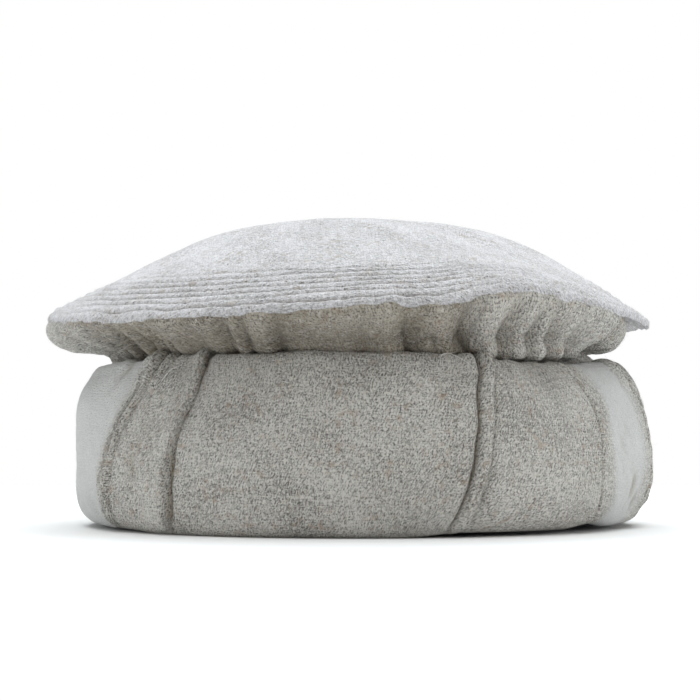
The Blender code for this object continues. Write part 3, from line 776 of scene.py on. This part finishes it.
def tube_runs(knots, spots):
    """Where the outer and the inner face's rows lie along the cloth's run."""
    outer = np.concatenate([
        between(knots, 0, spots.band, ROWS_BEFORE_SKIRT),
        between(knots, spots.band, spots.neck + 1, ROWS_SKIRT),
        between(knots, spots.neck + 1, spots.end, ROWS_HIDDEN),
        knots[-1:],
    ])
    inner = np.concatenate([
        between(knots, 0, spots.foot, ROWS_INSIDE),
        between(knots, spots.foot, spots.shoulder, ROWS_ROLL),
        between(knots, spots.shoulder, spots.crest, ROWS_TOP),
        between(knots, spots.crest, spots.end, ROWS_CREVICE),
        knots[-1:],
    ])[::-1]
    return outer, inner


def skirt_side(azimuth, run, knots, spots, folds):
    """Relief and painted shade of the face that the skirt shows, at places along the cloth's run."""
    on_skirt = (run > knots[spots.band]) & (run < knots[spots.neck + 1])
    to_head = eased(run, knots[spots.band], knots[spots.neck])
    relief = on_skirt * unevenness(azimuth, run * DRAG_LEAN, DRAG) * to_head
    # Painted shade: in the gathers' valleys, and on the skirt's front as painted shadow under the crown
    # that deepens at the neck
    front = np.clip(1 - FRONT_END * around(azimuth, EASE, "slack"), 0.0, 1.0)
    valley = gather(azimuth, 1 - to_head, folds) / VALLEY_SHADE
    hollow = valley + front * (SKIRT_SHADE + NECK_SHADE * to_head ** 2)
    return relief, on_skirt * np.clip(hollow, 0.0, 1.0)


def roll_side(azimuth, column, height, out, on_roll):
    """Relief and painted shade, in the creases, of the face that the roll shows."""
    uneven = unevenness(azimuth, height, ROLL_SOFT) + unevenness(azimuth, height, ROLL_FINE)
    relief = crease_relief(column, height, out) + slack_relief(azimuth, height)
    relief = relief + uneven * eased(height, *UNEVEN_FOOT) * eased(out, *CREASE_TOP)
    relief = np.where(on_roll, relief, 0.0)
    # painted shade in the creases, by how deep they sink
    return relief, eased(-relief, *CREASE_SHADE)


def build_tube(material):
    """The tube of cloth, from its edge under the crown to its rolled-up lower end, as one closed sheet."""
    folds = all_folds()
    columns = tube_columns()
    keys = tube_keys(columns, folds)
    middles = placed(keys[..., 0], keys[..., 1], keys[..., 2])
    steps = np.linalg.norm(np.diff(middles, axis=0), axis=-1).mean(axis=1)
    knots = np.concatenate([[0.0], np.cumsum(steps)])
    neck = BAND_KEYS + len(SKIRT)
    roll = neck + len(TUBE)
    spots = TubeSpots(BAND_KEYS - 1, neck, roll + ROLL_FOOT, roll + ROLL_SHOULDER, roll + ROLL_CREST,
                      len(keys) - 1)
    outer, inner = tube_runs(knots, spots)

    # Each side's points, and each point's painted shade: in the gathers, at the neck and in the creases
    sheets, painted_shades = [], []
    for side, places in ((1.0, outer), (-1.0, inner)):
        rows = through(places, knots, keys)
        azimuth, radius, height = rows[..., 0], rows[..., 1], rows[..., 2]
        middle = placed(azimuth, radius, height)
        run = places[:, None]
        if side > 0:
            relief, hollow = skirt_side(azimuth, run, knots, spots, folds)
        else:
            column = np.broadcast_to(columns, height.shape)
            relief, hollow = roll_side(azimuth, column, height, radius - ROLL_FACE, run > knots[spots.foot])
        face = middle + grid_normals(middle) * (CLOTH / 2 + relief)[..., None]
        face[..., 2] = np.maximum(face[..., 2], 0.0)
        sheets.append(face)
        painted_shades.append(hollow)

    grid = np.concatenate(sheets, axis=0)
    rows, count = grid.shape[:2]
    faces = []
    for r in range(rows):
        below = (r + 1) % rows
        for c in range(count):
            beside = (c + 1) % count
            faces.append((r * count + c, below * count + c, below * count + beside, r * count + beside))

    # Each point's place round the hat and along the cloth, in metres for the weave and as shares to bake
    row_of = np.repeat(np.arange(rows), count)
    runs = np.concatenate([outer, inner])[row_of]
    gone = np.concatenate([[0.0], np.cumsum(np.linalg.norm(np.diff(grid, axis=0), axis=-1).mean(axis=1))])
    gone = (gone / (gone[-1] + CLOTH))[row_of]
    round_share = np.tile((columns + FRONT_SPAN) / 360.0, rows)
    first = grid[len(outer):, 0]
    apart = np.abs(first[:, 2] - MEASURED_HEIGHT) - np.hypot(first[:, 0], first[:, 1])
    level = grid[len(outer) + int(np.argmin(apart))]
    widths = np.linalg.norm(level - np.roll(level, 1, axis=0), axis=-1)
    across_share = np.tile((np.cumsum(widths) - widths[0]) / widths.sum(), rows)

    def cloth_uv(corners, mesh):
        return np.stack([corner_turns(corners, mesh, across_share) * widths.sum(), runs[corners]], axis=-1)

    def bake_uv(corners, mesh):
        return np.stack([corner_turns(corners, mesh, share) for share in (round_share, gone)], axis=-1)

    return add_cloth("tube_cloth", grid.reshape(-1, 3), faces, np.concatenate(painted_shades), cloth_uv, bake_uv,
                     material)


class Nodes:
    """A small helper that adds shader nodes and links their sockets."""

    def __init__(self, material):
        material.use_nodes = True
        self.tree = material.node_tree
        self.shader = self.tree.nodes["Principled BSDF"]

    def put(self, value, socket):
        """Link a socket, or set a plain value, on an input."""
        if isinstance(value, bpy.types.NodeSocket):
            self.tree.links.new(value, socket)
        else:
            socket.default_value = value

    def finish(self, finish):
        """Set plain values on the shader, by the names of its inputs."""
        for name, value in finish.items():
            self.shader.inputs[name].default_value = value

    def node(self, kind, *values):
        """A new node with values put on its first inputs."""
        made = self.tree.nodes.new("ShaderNode" + kind)
        for value, socket in zip(values, made.inputs):
            self.put(value, socket)
        return made

    def math(self, operation, *values):
        made = self.node("Math", *values)
        made.operation = operation
        return made.outputs[0]

    def times(self, first, second):
        return self.math("MULTIPLY", first, second)

    def plus(self, first, second):
        return self.math("ADD", first, second)

    def minus(self, first, second):
        return self.math("SUBTRACT", first, second)

    def at_least(self, low, share):
        """A share squeezed so that its 0 becomes low and its 1 stays."""
        return self.plus(low, self.times(share, 1.0 - low))

    def vector(self, operation, *values):
        made = self.node("VectorMath", *values)
        made.operation = operation
        return made.outputs[0]

    def uv(self, name):
        made = self.node("UVMap")
        made.uv_map = name
        return made.outputs["UV"]

    def noise(self, place, scale, detail=2.0, roughness=0.5):
        made = self.node("TexNoise")
        self.put(place, made.inputs["Vector"])
        made.inputs["Scale"].default_value = scale
        made.inputs["Detail"].default_value = detail
        made.inputs["Roughness"].default_value = roughness
        return made.outputs

    def ramp(self, value, low, high):
        """Value stretched so that low becomes 0 and high becomes 1, clamped."""
        return self.node("MapRange", value, low, high).outputs["Result"]

    def mix(self, share, first, second, blend="MIX"):
        """Two colours mixed, or with MULTIPLY the first one dimmed by the second."""
        made = self.node("Mix")
        made.data_type = "RGBA"
        made.blend_type = blend
        self.put(share, made.inputs[0])
        self.put(first, made.inputs[6])
        self.put(second, made.inputs[7])
        return made.outputs[2]


# A look's side colour is painted rim light, paler and cooler, and its colour for hollows is painted shade,
# darker and warmer
WoolLook = namedtuple("WoolLook", "pale shade fleck warm side weave_depth weave_share grain fleck_share "
                      "strokes stroke_lean side_share hollow")
CROWN_LOOK = WoolLook(
    pale=(0.93, 0.918, 0.945, 1.0), shade=(0.32, 0.31, 0.30, 1.0), fleck=(0.15, 0.12, 0.10, 1.0),
    warm=(0.52, 0.44, 0.36, 1.0), side=(0.76, 0.77, 0.78, 1.0), weave_depth=0.40 * MM, weave_share=0.34,
    grain=1.55, fleck_share=1.3, strokes=(420.0, 1500.0, 1.0), stroke_lean=0.0, side_share=0.0,
    hollow=(0.30, 0.27, 0.235, 1.0))
TUBE_LOOK = WoolLook(
    pale=(0.87, 0.845, 0.785, 1.0), shade=(0.13, 0.115, 0.09, 1.0), fleck=(0.09, 0.07, 0.055, 1.0),
    warm=(0.50, 0.36, 0.25, 1.0), side=(0.63, 0.655, 0.67, 1.0), weave_depth=0.62 * MM, weave_share=0.85,
    grain=1.75, fleck_share=1.2, strokes=(1700.0, 560.0, 1.0), stroke_lean=0.5, side_share=0.72,
    hollow=(0.56, 0.50, 0.41, 1.0))
WOOL_FINISH = {"Roughness": 0.95, "Specular IOR Level": 0.15, "Sheen Weight": 0.25, "Sheen Roughness": 0.6,
               "Sheen Tint": (0.95, 0.97, 1.0, 1.0)}

# The wool's layers of noise: where each is moved to, its scale per metre, detail and roughness, and the
# range that is stretched from 0 to 1
NoiseRow = namedtuple("NoiseRow", "move scale detail roughness low high")
NOISES = {
    "matted": NoiseRow((5.0, 2.0, 0.0), 240.0, 2.0, 0.5, 0.40, 0.60),
    "nap": NoiseRow((0.0, 0.0, 0.0), 2100.0, 3.0, 0.7, 0.30, 0.70),
    "cloud": NoiseRow((0.0, 0.0, 0.0), 48.0, 3.0, 0.5, 0.32, 0.68),
    "patches": NoiseRow((0.0, 0.0, 0.0), 75.0, 2.0, 0.5, 0.42, 0.62),
    "specks": NoiseRow((3.1, 1.7, 0.0), 1100.0, 2.0, 0.5, 0.60, 0.69),
    "warm": NoiseRow((7.3, 4.9, 0.0), 330.0, 2.0, 0.5, 0.52, 0.70),
    "broken": NoiseRow((1.3, 8.1, 0.0), 420.0, 2.0, 0.5, 0.25, 0.50),
}
WanderRow = namedtuple("WanderRow", "scale detail reach")
YARN_WANDERS = (WanderRow(210.0, 2.0, 3.4 * MM), WanderRow(800.0, 1.0, 0.9 * MM))
HOLE_RANGE, HOLE_CHANCE = (0.16, 0.62), (0.25, 0.9)  # how holes open by their place and by chance
MATTED_SHARE = 0.5  # of the holes is covered where the fibres are matted
STROKE_RANGE = (0.30, 0.70)
GRAIN = {"crossing": 0.22, "strokes": 0.50, "nap": 0.70, "cloud": 0.20}  # how much each sways the tone
MIDDLE_TONE = 0.74  # between the shade, at 0, and the pale yarn, at 1
YARN_TONE, YARN_MIDDLE = 0.30, 0.64  # how much a yarn's height sways the tone, as painted shade on its low parts, and its mean height
FLECK_MIX, WARM_MIX, RIM_LIGHT_MIX = 0.8, 0.5, 0.7  # how strongly each colour is mixed in
FLECKS_LEFT, PAINTED_SHADE_LEFT, RELIEF_LEFT = 0.3, 0.35, 0.25  # of each, where what sways it is at its least
WEAVE_RELIEF, STROKE_RELIEF, NAP_RELIEF = 0.5, 0.5, 0.6  # against a hole's depth of 1


def rim_lit_sides(n, run):
    """How much painted rim light a spot of the tube's cloth gets, 0 to 1: it makes the cloth paler and
    smooths its grain. run is its place along the cloth.
    """
    turn = n.node("SeparateXYZ", n.uv("OFBake"))
    azimuth = n.minus(n.times(turn.outputs["X"], 360.0), FRONT_SPAN)
    beside = n.times(n.ramp(n.math("ABSOLUTE", azimuth), *RIM_LIT_SIDES),
                     n.minus(1.0, n.ramp(azimuth, *RIM_LIT_END)))
    return n.times(beside, n.ramp(run, *RIM_LIT_RUN))


def plain_weave(n, place, matted):
    """A plain weave of yarns that wander: how high they ride, how open the hole at a corner is, and a
    random value for each crossing. At each crossing one yarn rides over the other.
    """
    bent = place
    for row in YARN_WANDERS:
        away = n.vector("SUBTRACT", n.noise(place, row.scale, row.detail)[1], (0.5, 0.5, 0.5))
        bent = n.vector("ADD", bent, n.vector("MULTIPLY", away, (row.reach, row.reach, 0.0)))
    split = n.node("SeparateXYZ", bent)
    across = n.math("DIVIDE", split.outputs["X"], WEAVE_PITCH)
    along = n.math("DIVIDE", split.outputs["Y"], WEAVE_PITCH)

    def each(whole):
        """A random value for each pair of whole numbers."""
        cell = n.node("CombineXYZ", n.math(whole, across), n.math(whole, along))
        return n.node("TexWhiteNoise", cell.outputs[0]).outputs["Value"]

    pair = n.plus(n.math("FLOOR", across), n.math("FLOOR", along))
    parity = n.math("MODULO", n.math("ABSOLUTE", pair), 2.0)
    warp = n.math("SINE", n.times(n.math("FRACT", across), math.pi))
    weft = n.math("SINE", n.times(n.math("FRACT", along), math.pi))
    weave = n.plus(n.times(warp, parity), n.times(weft, n.minus(1.0, parity)))
    corner = n.times(n.minus(1.0, warp), n.minus(1.0, weft))
    left_open = n.times(n.ramp(each("ROUND"), *HOLE_CHANCE), n.minus(1.0, n.times(matted, MATTED_SHARE)))
    return weave, n.times(n.ramp(corner, *HOLE_RANGE), left_open), each("FLOOR")


def wool(name, look):
    """Heathered wool in a plain weave, fulled so that its fibres half cover the weave. Its colour also
    holds painted shade in the hollows and in the weave's holes, and painted rim light on the tube's sides.
    """
    material = bpy.data.materials.new(name)
    n = Nodes(material)
    place = n.uv("Cloth")
    flat = n.node("SeparateXYZ", place).outputs
    layer = {}
    for title, row in NOISES.items():
        spread = n.noise(n.vector("ADD", place, row.move), row.scale, row.detail, row.roughness)
        layer[title] = n.ramp(spread[0], row.low, row.high)
    weave, holes, layer["crossing"] = plain_weave(n, place, layer["matted"])
    # Painted rim light on the tube's sides: it smooths the grain and flecks away and mixes in the paler
    # side colour
    sides = n.times(rim_lit_sides(n, flat["Y"]), look.side_share)
    rough = n.minus(1.0, sides)

    # Fibres lie in strokes
    lean = n.minus(flat["X"], n.times(flat["Y"], look.stroke_lean))
    streaks = n.vector("MULTIPLY", n.node("CombineXYZ", lean, flat["Y"]).outputs[0], look.strokes)
    layer["strokes"] = n.ramp(n.noise(streaks, 1.0)[0], *STROKE_RANGE)

    # Colour: pale yarns, with painted shade in the holes and on the yarns' low parts, each crossing a
    # little different, with dark and warm flecks
    tone = n.plus(n.times(holes, -look.weave_share),
                  n.times(n.minus(weave, YARN_MIDDLE), YARN_TONE * look.weave_share))
    for title, weight in GRAIN.items():
        tone = n.plus(tone, n.times(n.minus(layer[title], 0.5), weight * look.grain))
    tone = n.plus(MIDDLE_TONE, n.times(tone, rough))
    colour = n.mix(n.ramp(tone, 0.0, 1.0), look.shade, look.pale)
    specks = n.times(layer["specks"], n.times(n.at_least(FLECKS_LEFT, layer["patches"]), rough))
    colour = n.mix(n.times(specks, look.fleck_share * FLECK_MIX), colour, look.fleck)
    warm = n.times(n.times(layer["warm"], layer["patches"]), rough)
    colour = n.mix(n.times(warm, look.fleck_share * WARM_MIX), colour, look.warm)
    # painted rim light, paler and cooler
    colour = n.mix(n.times(sides, RIM_LIGHT_MIX), colour, look.side)
    # Painted shade, darker and warmer, where the points' painted shade is, broken up a little by noise
    hollow = n.node("Attribute")
    hollow.attribute_name = "Hollow"
    shaded = n.times(hollow.outputs["Fac"], n.at_least(PAINTED_SHADE_LEFT, layer["broken"]))
    n.put(n.mix(shaded, colour, look.hollow, "MULTIPLY"), n.shader.inputs["Base Color"])

    # Relief
    height = n.minus(n.times(weave, WEAVE_RELIEF), holes)
    height = n.plus(height, n.times(layer["strokes"], STROKE_RELIEF))
    height = n.plus(height, n.times(layer["nap"], NAP_RELIEF))
    bump = n.node("Bump")
    bump.inputs["Strength"].default_value = 1.0
    bump.inputs["Distance"].default_value = look.weave_depth
    n.put(n.times(height, n.at_least(RELIEF_LEFT, rough)), bump.inputs["Height"])
    n.put(bump.outputs[0], n.shader.inputs["Normal"])
    n.finish(WOOL_FINISH)
    return material


THREAD_DARK, THREAD_PALE = (0.20, 0.18, 0.16, 1.0), (0.52, 0.50, 0.47, 1.0)
THREAD_TWIST = 900.0  # scale of its unevenness, per metre


def thread_look():
    """The quilting thread: a dull grey-brown, twisted."""
    material = bpy.data.materials.new("quilting_thread")
    n = Nodes(material)
    tone = n.noise(n.node("TexCoord").outputs["Object"], THREAD_TWIST)[0]
    n.put(n.mix(tone, THREAD_DARK, THREAD_PALE), n.shader.inputs["Base Color"])
    n.finish({"Roughness": 0.9})
    return material


def rods(spines, first_axes, second_axes, sizes, sides):
    """Points and faces of closed rods along spines, an array of rods by stations by 3. The axes lie across
    them, and sizes are a rod's radii at its stations.
    """
    count, stations = spines.shape[:2]
    angles = 2 * math.pi * np.arange(sides)[:, None] / sides
    rings = first_axes[:, :, None] * np.cos(angles) + second_axes[:, :, None] * np.sin(angles)
    points = (spines[:, :, None] + sizes[:, None, None] * rings).reshape(-1, 3)
    faces = []
    for first in range(0, count * stations * sides, stations * sides):
        end = first + (stations - 1) * sides
        for ring in range(first, end, sides):
            for side in range(sides):
                here, beside = ring + side, ring + (side + 1) % sides
                faces.append((here, beside, beside + sides, here + sides))
        faces.append(tuple(range(first, first + sides))[::-1])
        faces.append(tuple(range(end, end + sides)))
    return points, faces


THREAD_SIDES, THREAD_STATIONS = 5, 4
THREAD_SPAN = (0.1, 0.9)  # of the stitch's pitch
THREAD_BOW, THREAD_SINK = 2.2, 0.6  # in thread radii: how far it bends out, and how far its ends are sunk
THREAD_ENDS = (0.55, 1.0, 1.0, 0.55)  # its radius at each station


def build_stitches(material):
    """The quilting thread's stitches, each a short bent rod that is sunk in its groove."""
    turns = round(2 * math.pi * RIM_RADIUS / STITCH_PITCH)
    along = 360.0 / turns * np.linspace(*THREAD_SPAN, THREAD_STATIONS)
    bow = THREAD_RADIUS * (THREAD_BOW * np.sin(np.linspace(0.0, math.pi, THREAD_STATIONS)) - THREAD_SINK)
    azimuths, shares = [], []
    for k, row in enumerate(STITCH_ROWS):
        starts = (np.arange(turns) * 360.0 - math.degrees(k * ROW_PHASE)) / turns
        share = 1 - (row.in_from_edge + stitch_wander(starts, k)) / RIM_RADIUS
        azimuths.append(starts[:, None] + along)
        shares.append(share[:, None] + 0 * along)
    azimuths, shares = np.concatenate(azimuths), np.concatenate(shares)
    normals = crown_normals(azimuths, shares)
    height = CLOTH / 2 - GROOVE_DEPTH - STITCH_DIMPLE / 2 + bow
    spines = crown_middle(azimuths, shares) + normals * height[:, None]
    aside = np.cross(unit(np.gradient(spines, axis=1)), normals)
    sizes = THREAD_RADIUS * np.array(THREAD_ENDS)
    return add_mesh("quilting_thread", *rods(spines, normals, aside, sizes, THREAD_SIDES), material)


# Loose fibres. The named hairs lie on the brim; each row is a point on one
HairRow = namedtuple("HairRow", "azimuth height lift")
HAIRS = [table(HairRow, hair, in_mm="height lift") for hair in [
    [(14.8, 58.5, 0.2), (15.2, 61.5, 0.9), (16.2, 64.6, 1.5), (18.0, 65.4, 1.7), (19.6, 63.6, 2.0),
     (20.8, 60.6, 2.4), (21.4, 57.4, 2.9)],
    [(23.0, 58.8, 2.6), (24.4, 60.4, 1.6), (26.2, 61.2, 0.8), (27.6, 62.0, 0.3)],
    [(-3.4, 44.4, 0.2), (-2.8, 45.2, 0.7), (-2.0, 45.8, 0.3)],
    [(-40.0, 56.0, 0.3), (-38.0, 60.0, 1.2), (-36.4, 61.5, 0.3)],
]]
HAIR_RADIUS = 0.15 * MM
HAIR_LIFT = 1.3 * MM
HAIR_STATIONS = 16
FUZZ_COUNT = 2400
FUZZ_LENGTH = (1.2 * MM, 3.6 * MM)
FUZZ_RADIUS = 0.035 * MM
FUZZ_STATIONS = 5
FUZZ_REACH = 98 * MM  # fibres stand only on cloth that lies this far out, and on the crown
FUZZ_FOOT = 6 * MM  # and higher than this
TINY = 1e-9  # keeps the crown's middle from a division by 0
FACING_OUT, FACING_UP = -0.1, 0.6  # parts of the cloth's normal that count as seen, and as the crown's top
FUZZ_CURL, FUZZ_LIFT, FUZZ_DROOP = 0.6, (0.25, 0.75), 0.6
FIBRE_SIDES = 3
FIBRE_TILT = (0.31, 0.17, 0.94)  # any direction, to place a fibre's sides by
FIBRE_TAPER = 0.35  # radians from the end of the sine that a fibre's thickness follows
ROLL_FRONT = 4 * MM  # the roll's rows further out and higher than this are its outer face
FIBRE_FINISH = {"Base Color": (0.93, 0.92, 0.89, 1.0), "Roughness": 0.85, "Specular IOR Level": 0.2}


def roll_face(height):
    """Radius of the brim's outer face at a height on its front."""
    face = [row for row in ROLL if row.out > ROLL_FRONT and row.height > ROLL_FRONT]
    return ROLL_FACE + CLOTH / 2 + through(height, [row.height for row in face], [row.out for row in face])


def fibre_rods(spines, radius):
    """Points and faces of fibres that taper to both ends."""
    ahead = unit(np.gradient(spines, axis=1))
    aside = unit(np.cross(ahead, FIBRE_TILT))
    taper = np.sin(np.linspace(FIBRE_TAPER, math.pi - FIBRE_TAPER, spines.shape[1]))
    return rods(spines, aside, np.cross(ahead, aside), radius * taper, FIBRE_SIDES)


def fuzz_spines(pieces):
    """Short curved fibres that stand out of the pieces' outer faces."""
    random = np.random.default_rng(FUZZ_SEED)
    spots, normals = [], []
    for piece in pieces:
        vertices = piece.data.vertices
        place, facing = np.zeros(len(vertices) * 3), np.zeros(len(vertices) * 3)
        vertices.foreach_get("co", place)
        vertices.foreach_get("normal", facing)
        place, facing = place.reshape(-1, 3), facing.reshape(-1, 3)
        away = np.linalg.norm(place[:, :2], axis=1)
        outward = place * (1.0, 1.0, 0.0) / np.linalg.norm(place[:, :2] + TINY, axis=1)[:, None]
        shown = (facing * outward).sum(axis=1) > FACING_OUT
        shown &= (away > FUZZ_REACH) | (facing[:, 2] > FACING_UP)
        shown &= place[:, 2] > FUZZ_FOOT
        chosen = random.choice(np.flatnonzero(shown), FUZZ_COUNT // len(pieces), replace=False)
        spots.append(place[chosen])
        normals.append(facing[chosen])
    spots, normals = np.concatenate(spots), np.concatenate(normals)
    lengths = random.uniform(*FUZZ_LENGTH, len(spots))[:, None, None]
    lay = random.normal(size=spots.shape)
    lay = unit(lay - (lay * normals).sum(axis=1, keepdims=True) * normals)
    curl = np.cross(lay, normals) * random.uniform(-FUZZ_CURL, FUZZ_CURL, (len(spots), 1))
    lift = random.uniform(*FUZZ_LIFT, (len(spots), 1, 1))
    t = np.linspace(0.0, 1.0, FUZZ_STATIONS)[None, :, None]
    path = lay[:, None] * t + normals[:, None] * lift * (t - FUZZ_DROOP * t ** 2) + curl[:, None] * t ** 2
    return spots[:, None] + lengths * path


def build_fibres(pieces):
    """Loose hairs on the brim and the fuzz of the wool, pale and matt."""
    spines = []
    for hair in HAIRS:
        at = np.linspace(0.0, len(hair) - 1, HAIR_STATIONS)
        azimuth, height, lift = through(at, range(len(hair)), hair).T
        spines.append(placed(azimuth, roll_face(height) + HAIR_LIFT + lift, height))
    hairs, hair_faces = fibre_rods(np.array(spines), HAIR_RADIUS)
    fuzz, fuzz_faces = fibre_rods(fuzz_spines(pieces), FUZZ_RADIUS)
    faces = hair_faces + [tuple(len(hairs) + corner for corner in face) for face in fuzz_faces]
    material = bpy.data.materials.new("stray_fibre")
    Nodes(material).finish(FIBRE_FINISH)
    return add_mesh("stray_fibres", np.concatenate([hairs, fuzz]), faces, material)


FLOOR_RADIUS, FLOOR_CORNERS = 3.0, 72
FLOOR_FADE = (0.17, 0.60)  # the floor fades into the white surroundings between these distances
FLOOR_SEEN = 0.93  # how pale the floor looks
BOUNCE_FADE = (0.20, 0.42)  # and between these it throws back less light
BOUNCE_NEAR, BOUNCE_FAR = 0.95, 0.36


def build_floor():
    """A plain pale floor that fades into the white round it, and throws light up at the hat's foot."""
    material = bpy.data.materials.new("floor")
    n = Nodes(material)
    away = n.node("VectorMath", n.node("TexCoord").outputs["Object"])
    away.operation = "LENGTH"
    away = away.outputs["Value"]
    near, far, seen = ((v, v, v, 1.0) for v in (BOUNCE_NEAR, BOUNCE_FAR, FLOOR_SEEN))
    bounce = n.mix(n.ramp(away, *BOUNCE_FADE), near, far)
    n.put(n.mix(n.node("LightPath").outputs["Is Camera Ray"], bounce, seen), n.shader.inputs["Base Color"])
    n.put(n.minus(1.0, n.ramp(away, *FLOOR_FADE)), n.shader.inputs["Alpha"])
    n.finish({"Roughness": 1.0, "Specular IOR Level": 0.0})
    angles = 2 * math.pi * np.arange(FLOOR_CORNERS) / FLOOR_CORNERS
    ring = FLOOR_RADIUS * np.stack([np.sin(angles), np.cos(angles), 0 * angles], axis=-1)
    add_mesh("floor", ring, [tuple(range(FLOOR_CORNERS))[::-1]], material)


LightRow = namedtuple("LightRow", "name place size power colour")
LIGHTS = [
    LightRow("overhead", (0.0, 0.35, 1.60), 2.2, 44.0, (0.94, 0.98, 1.0)),
    LightRow("behind", (0.0, 1.60, 0.70), 2.4, 22.0, (0.94, 0.98, 1.0)),
    LightRow("left_side", (-1.40, -0.20, 0.06), 1.2, 11.8, (0.96, 0.985, 1.0)),
    LightRow("right_side", (1.40, -0.30, 0.06), 1.2, 13.6, (0.96, 0.985, 1.0)),
    LightRow("front_high", (0.0, -1.10, 1.30), 1.3, 8.0, (1.0, 0.99, 0.965)),
    LightRow("front_low", (0.0, -1.50, 0.02), 0.9, 1.2, (1.0, 0.99, 0.975)),
]
LIGHT_AIM = (0.0, 0.0, 0.06)
WORLD_FILL, WORLD_COLOUR = 0.02, (0.98, 0.99, 1.0, 1.0)


def build_lights():
    """Soft boxes round the hat, and a dim world that the camera sees as white."""
    for row in LIGHTS:
        data = bpy.data.lights.new(row.name, "AREA")
        data.shape = "SQUARE"
        data.size = row.size
        data.energy = row.power
        data.color = row.colour
        made = bpy.data.objects.new(row.name, data)
        made.location = row.place
        made.rotation_euler = (Vector(row.place) - Vector(LIGHT_AIM)).to_track_quat("Z", "Y").to_euler()
        made.visible_camera = False
        bpy.context.scene.collection.objects.link(made)
    world = bpy.data.worlds.new("studio")
    bpy.context.scene.world = world
    world.use_nodes = True
    tree = world.node_tree
    fill = tree.nodes["Background"]
    fill.inputs["Color"].default_value = WORLD_COLOUR
    fill.inputs["Strength"].default_value = WORLD_FILL
    seen = tree.nodes.new("ShaderNodeBackground")
    seen.inputs["Color"].default_value = (1.0, 1.0, 1.0, 1.0)
    seen.inputs["Strength"].default_value = 1.0
    path = tree.nodes.new("ShaderNodeLightPath")
    mix = tree.nodes.new("ShaderNodeMixShader")
    tree.links.new(path.outputs["Is Camera Ray"], mix.inputs[0])
    tree.links.new(fill.outputs[0], mix.inputs[1])
    tree.links.new(seen.outputs[0], mix.inputs[2])
    tree.links.new(mix.outputs[0], tree.nodes["World Output"].inputs["Surface"])


CAMERA_PLACE = (0.0006, -0.80, 0.0385)
CAMERA_PITCH = 2.3  # degrees upwards
CAMERA_LENS, SENSOR_WIDTH = 101.2, 36.0  # mm
NEAREST_SEEN = 0.02


def build_camera():
    """The photograph's view: level with the brim, from the front."""
    data = bpy.data.cameras.new("camera")
    data.lens = CAMERA_LENS
    data.sensor_width = SENSOR_WIDTH
    data.clip_start = NEAREST_SEEN
    made = bpy.data.objects.new("camera", data)
    made.location = CAMERA_PLACE
    made.rotation_euler = (math.radians(90.0 + CAMERA_PITCH), 0.0, 0.0)
    bpy.context.scene.collection.objects.link(made)
    bpy.context.scene.camera = made


build_camera()
build_lights()
build_floor()
bpy.context.scene.view_settings.view_transform = "Standard"

crown = build_crown(wool("crown_wool", CROWN_LOOK))
stitches = build_stitches(thread_look())
tube = build_tube(wool("tube_wool", TUBE_LOOK))
fibres = build_fibres((crown, tube))

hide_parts("crown")
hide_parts(*[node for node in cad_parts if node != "crown"])
for piece, slot in ((crown, "crown_wool"), (stitches, "crown_wool"), (tube, "tube_wool"),
                    (fibres, "tube_wool")):
    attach(piece, "root")
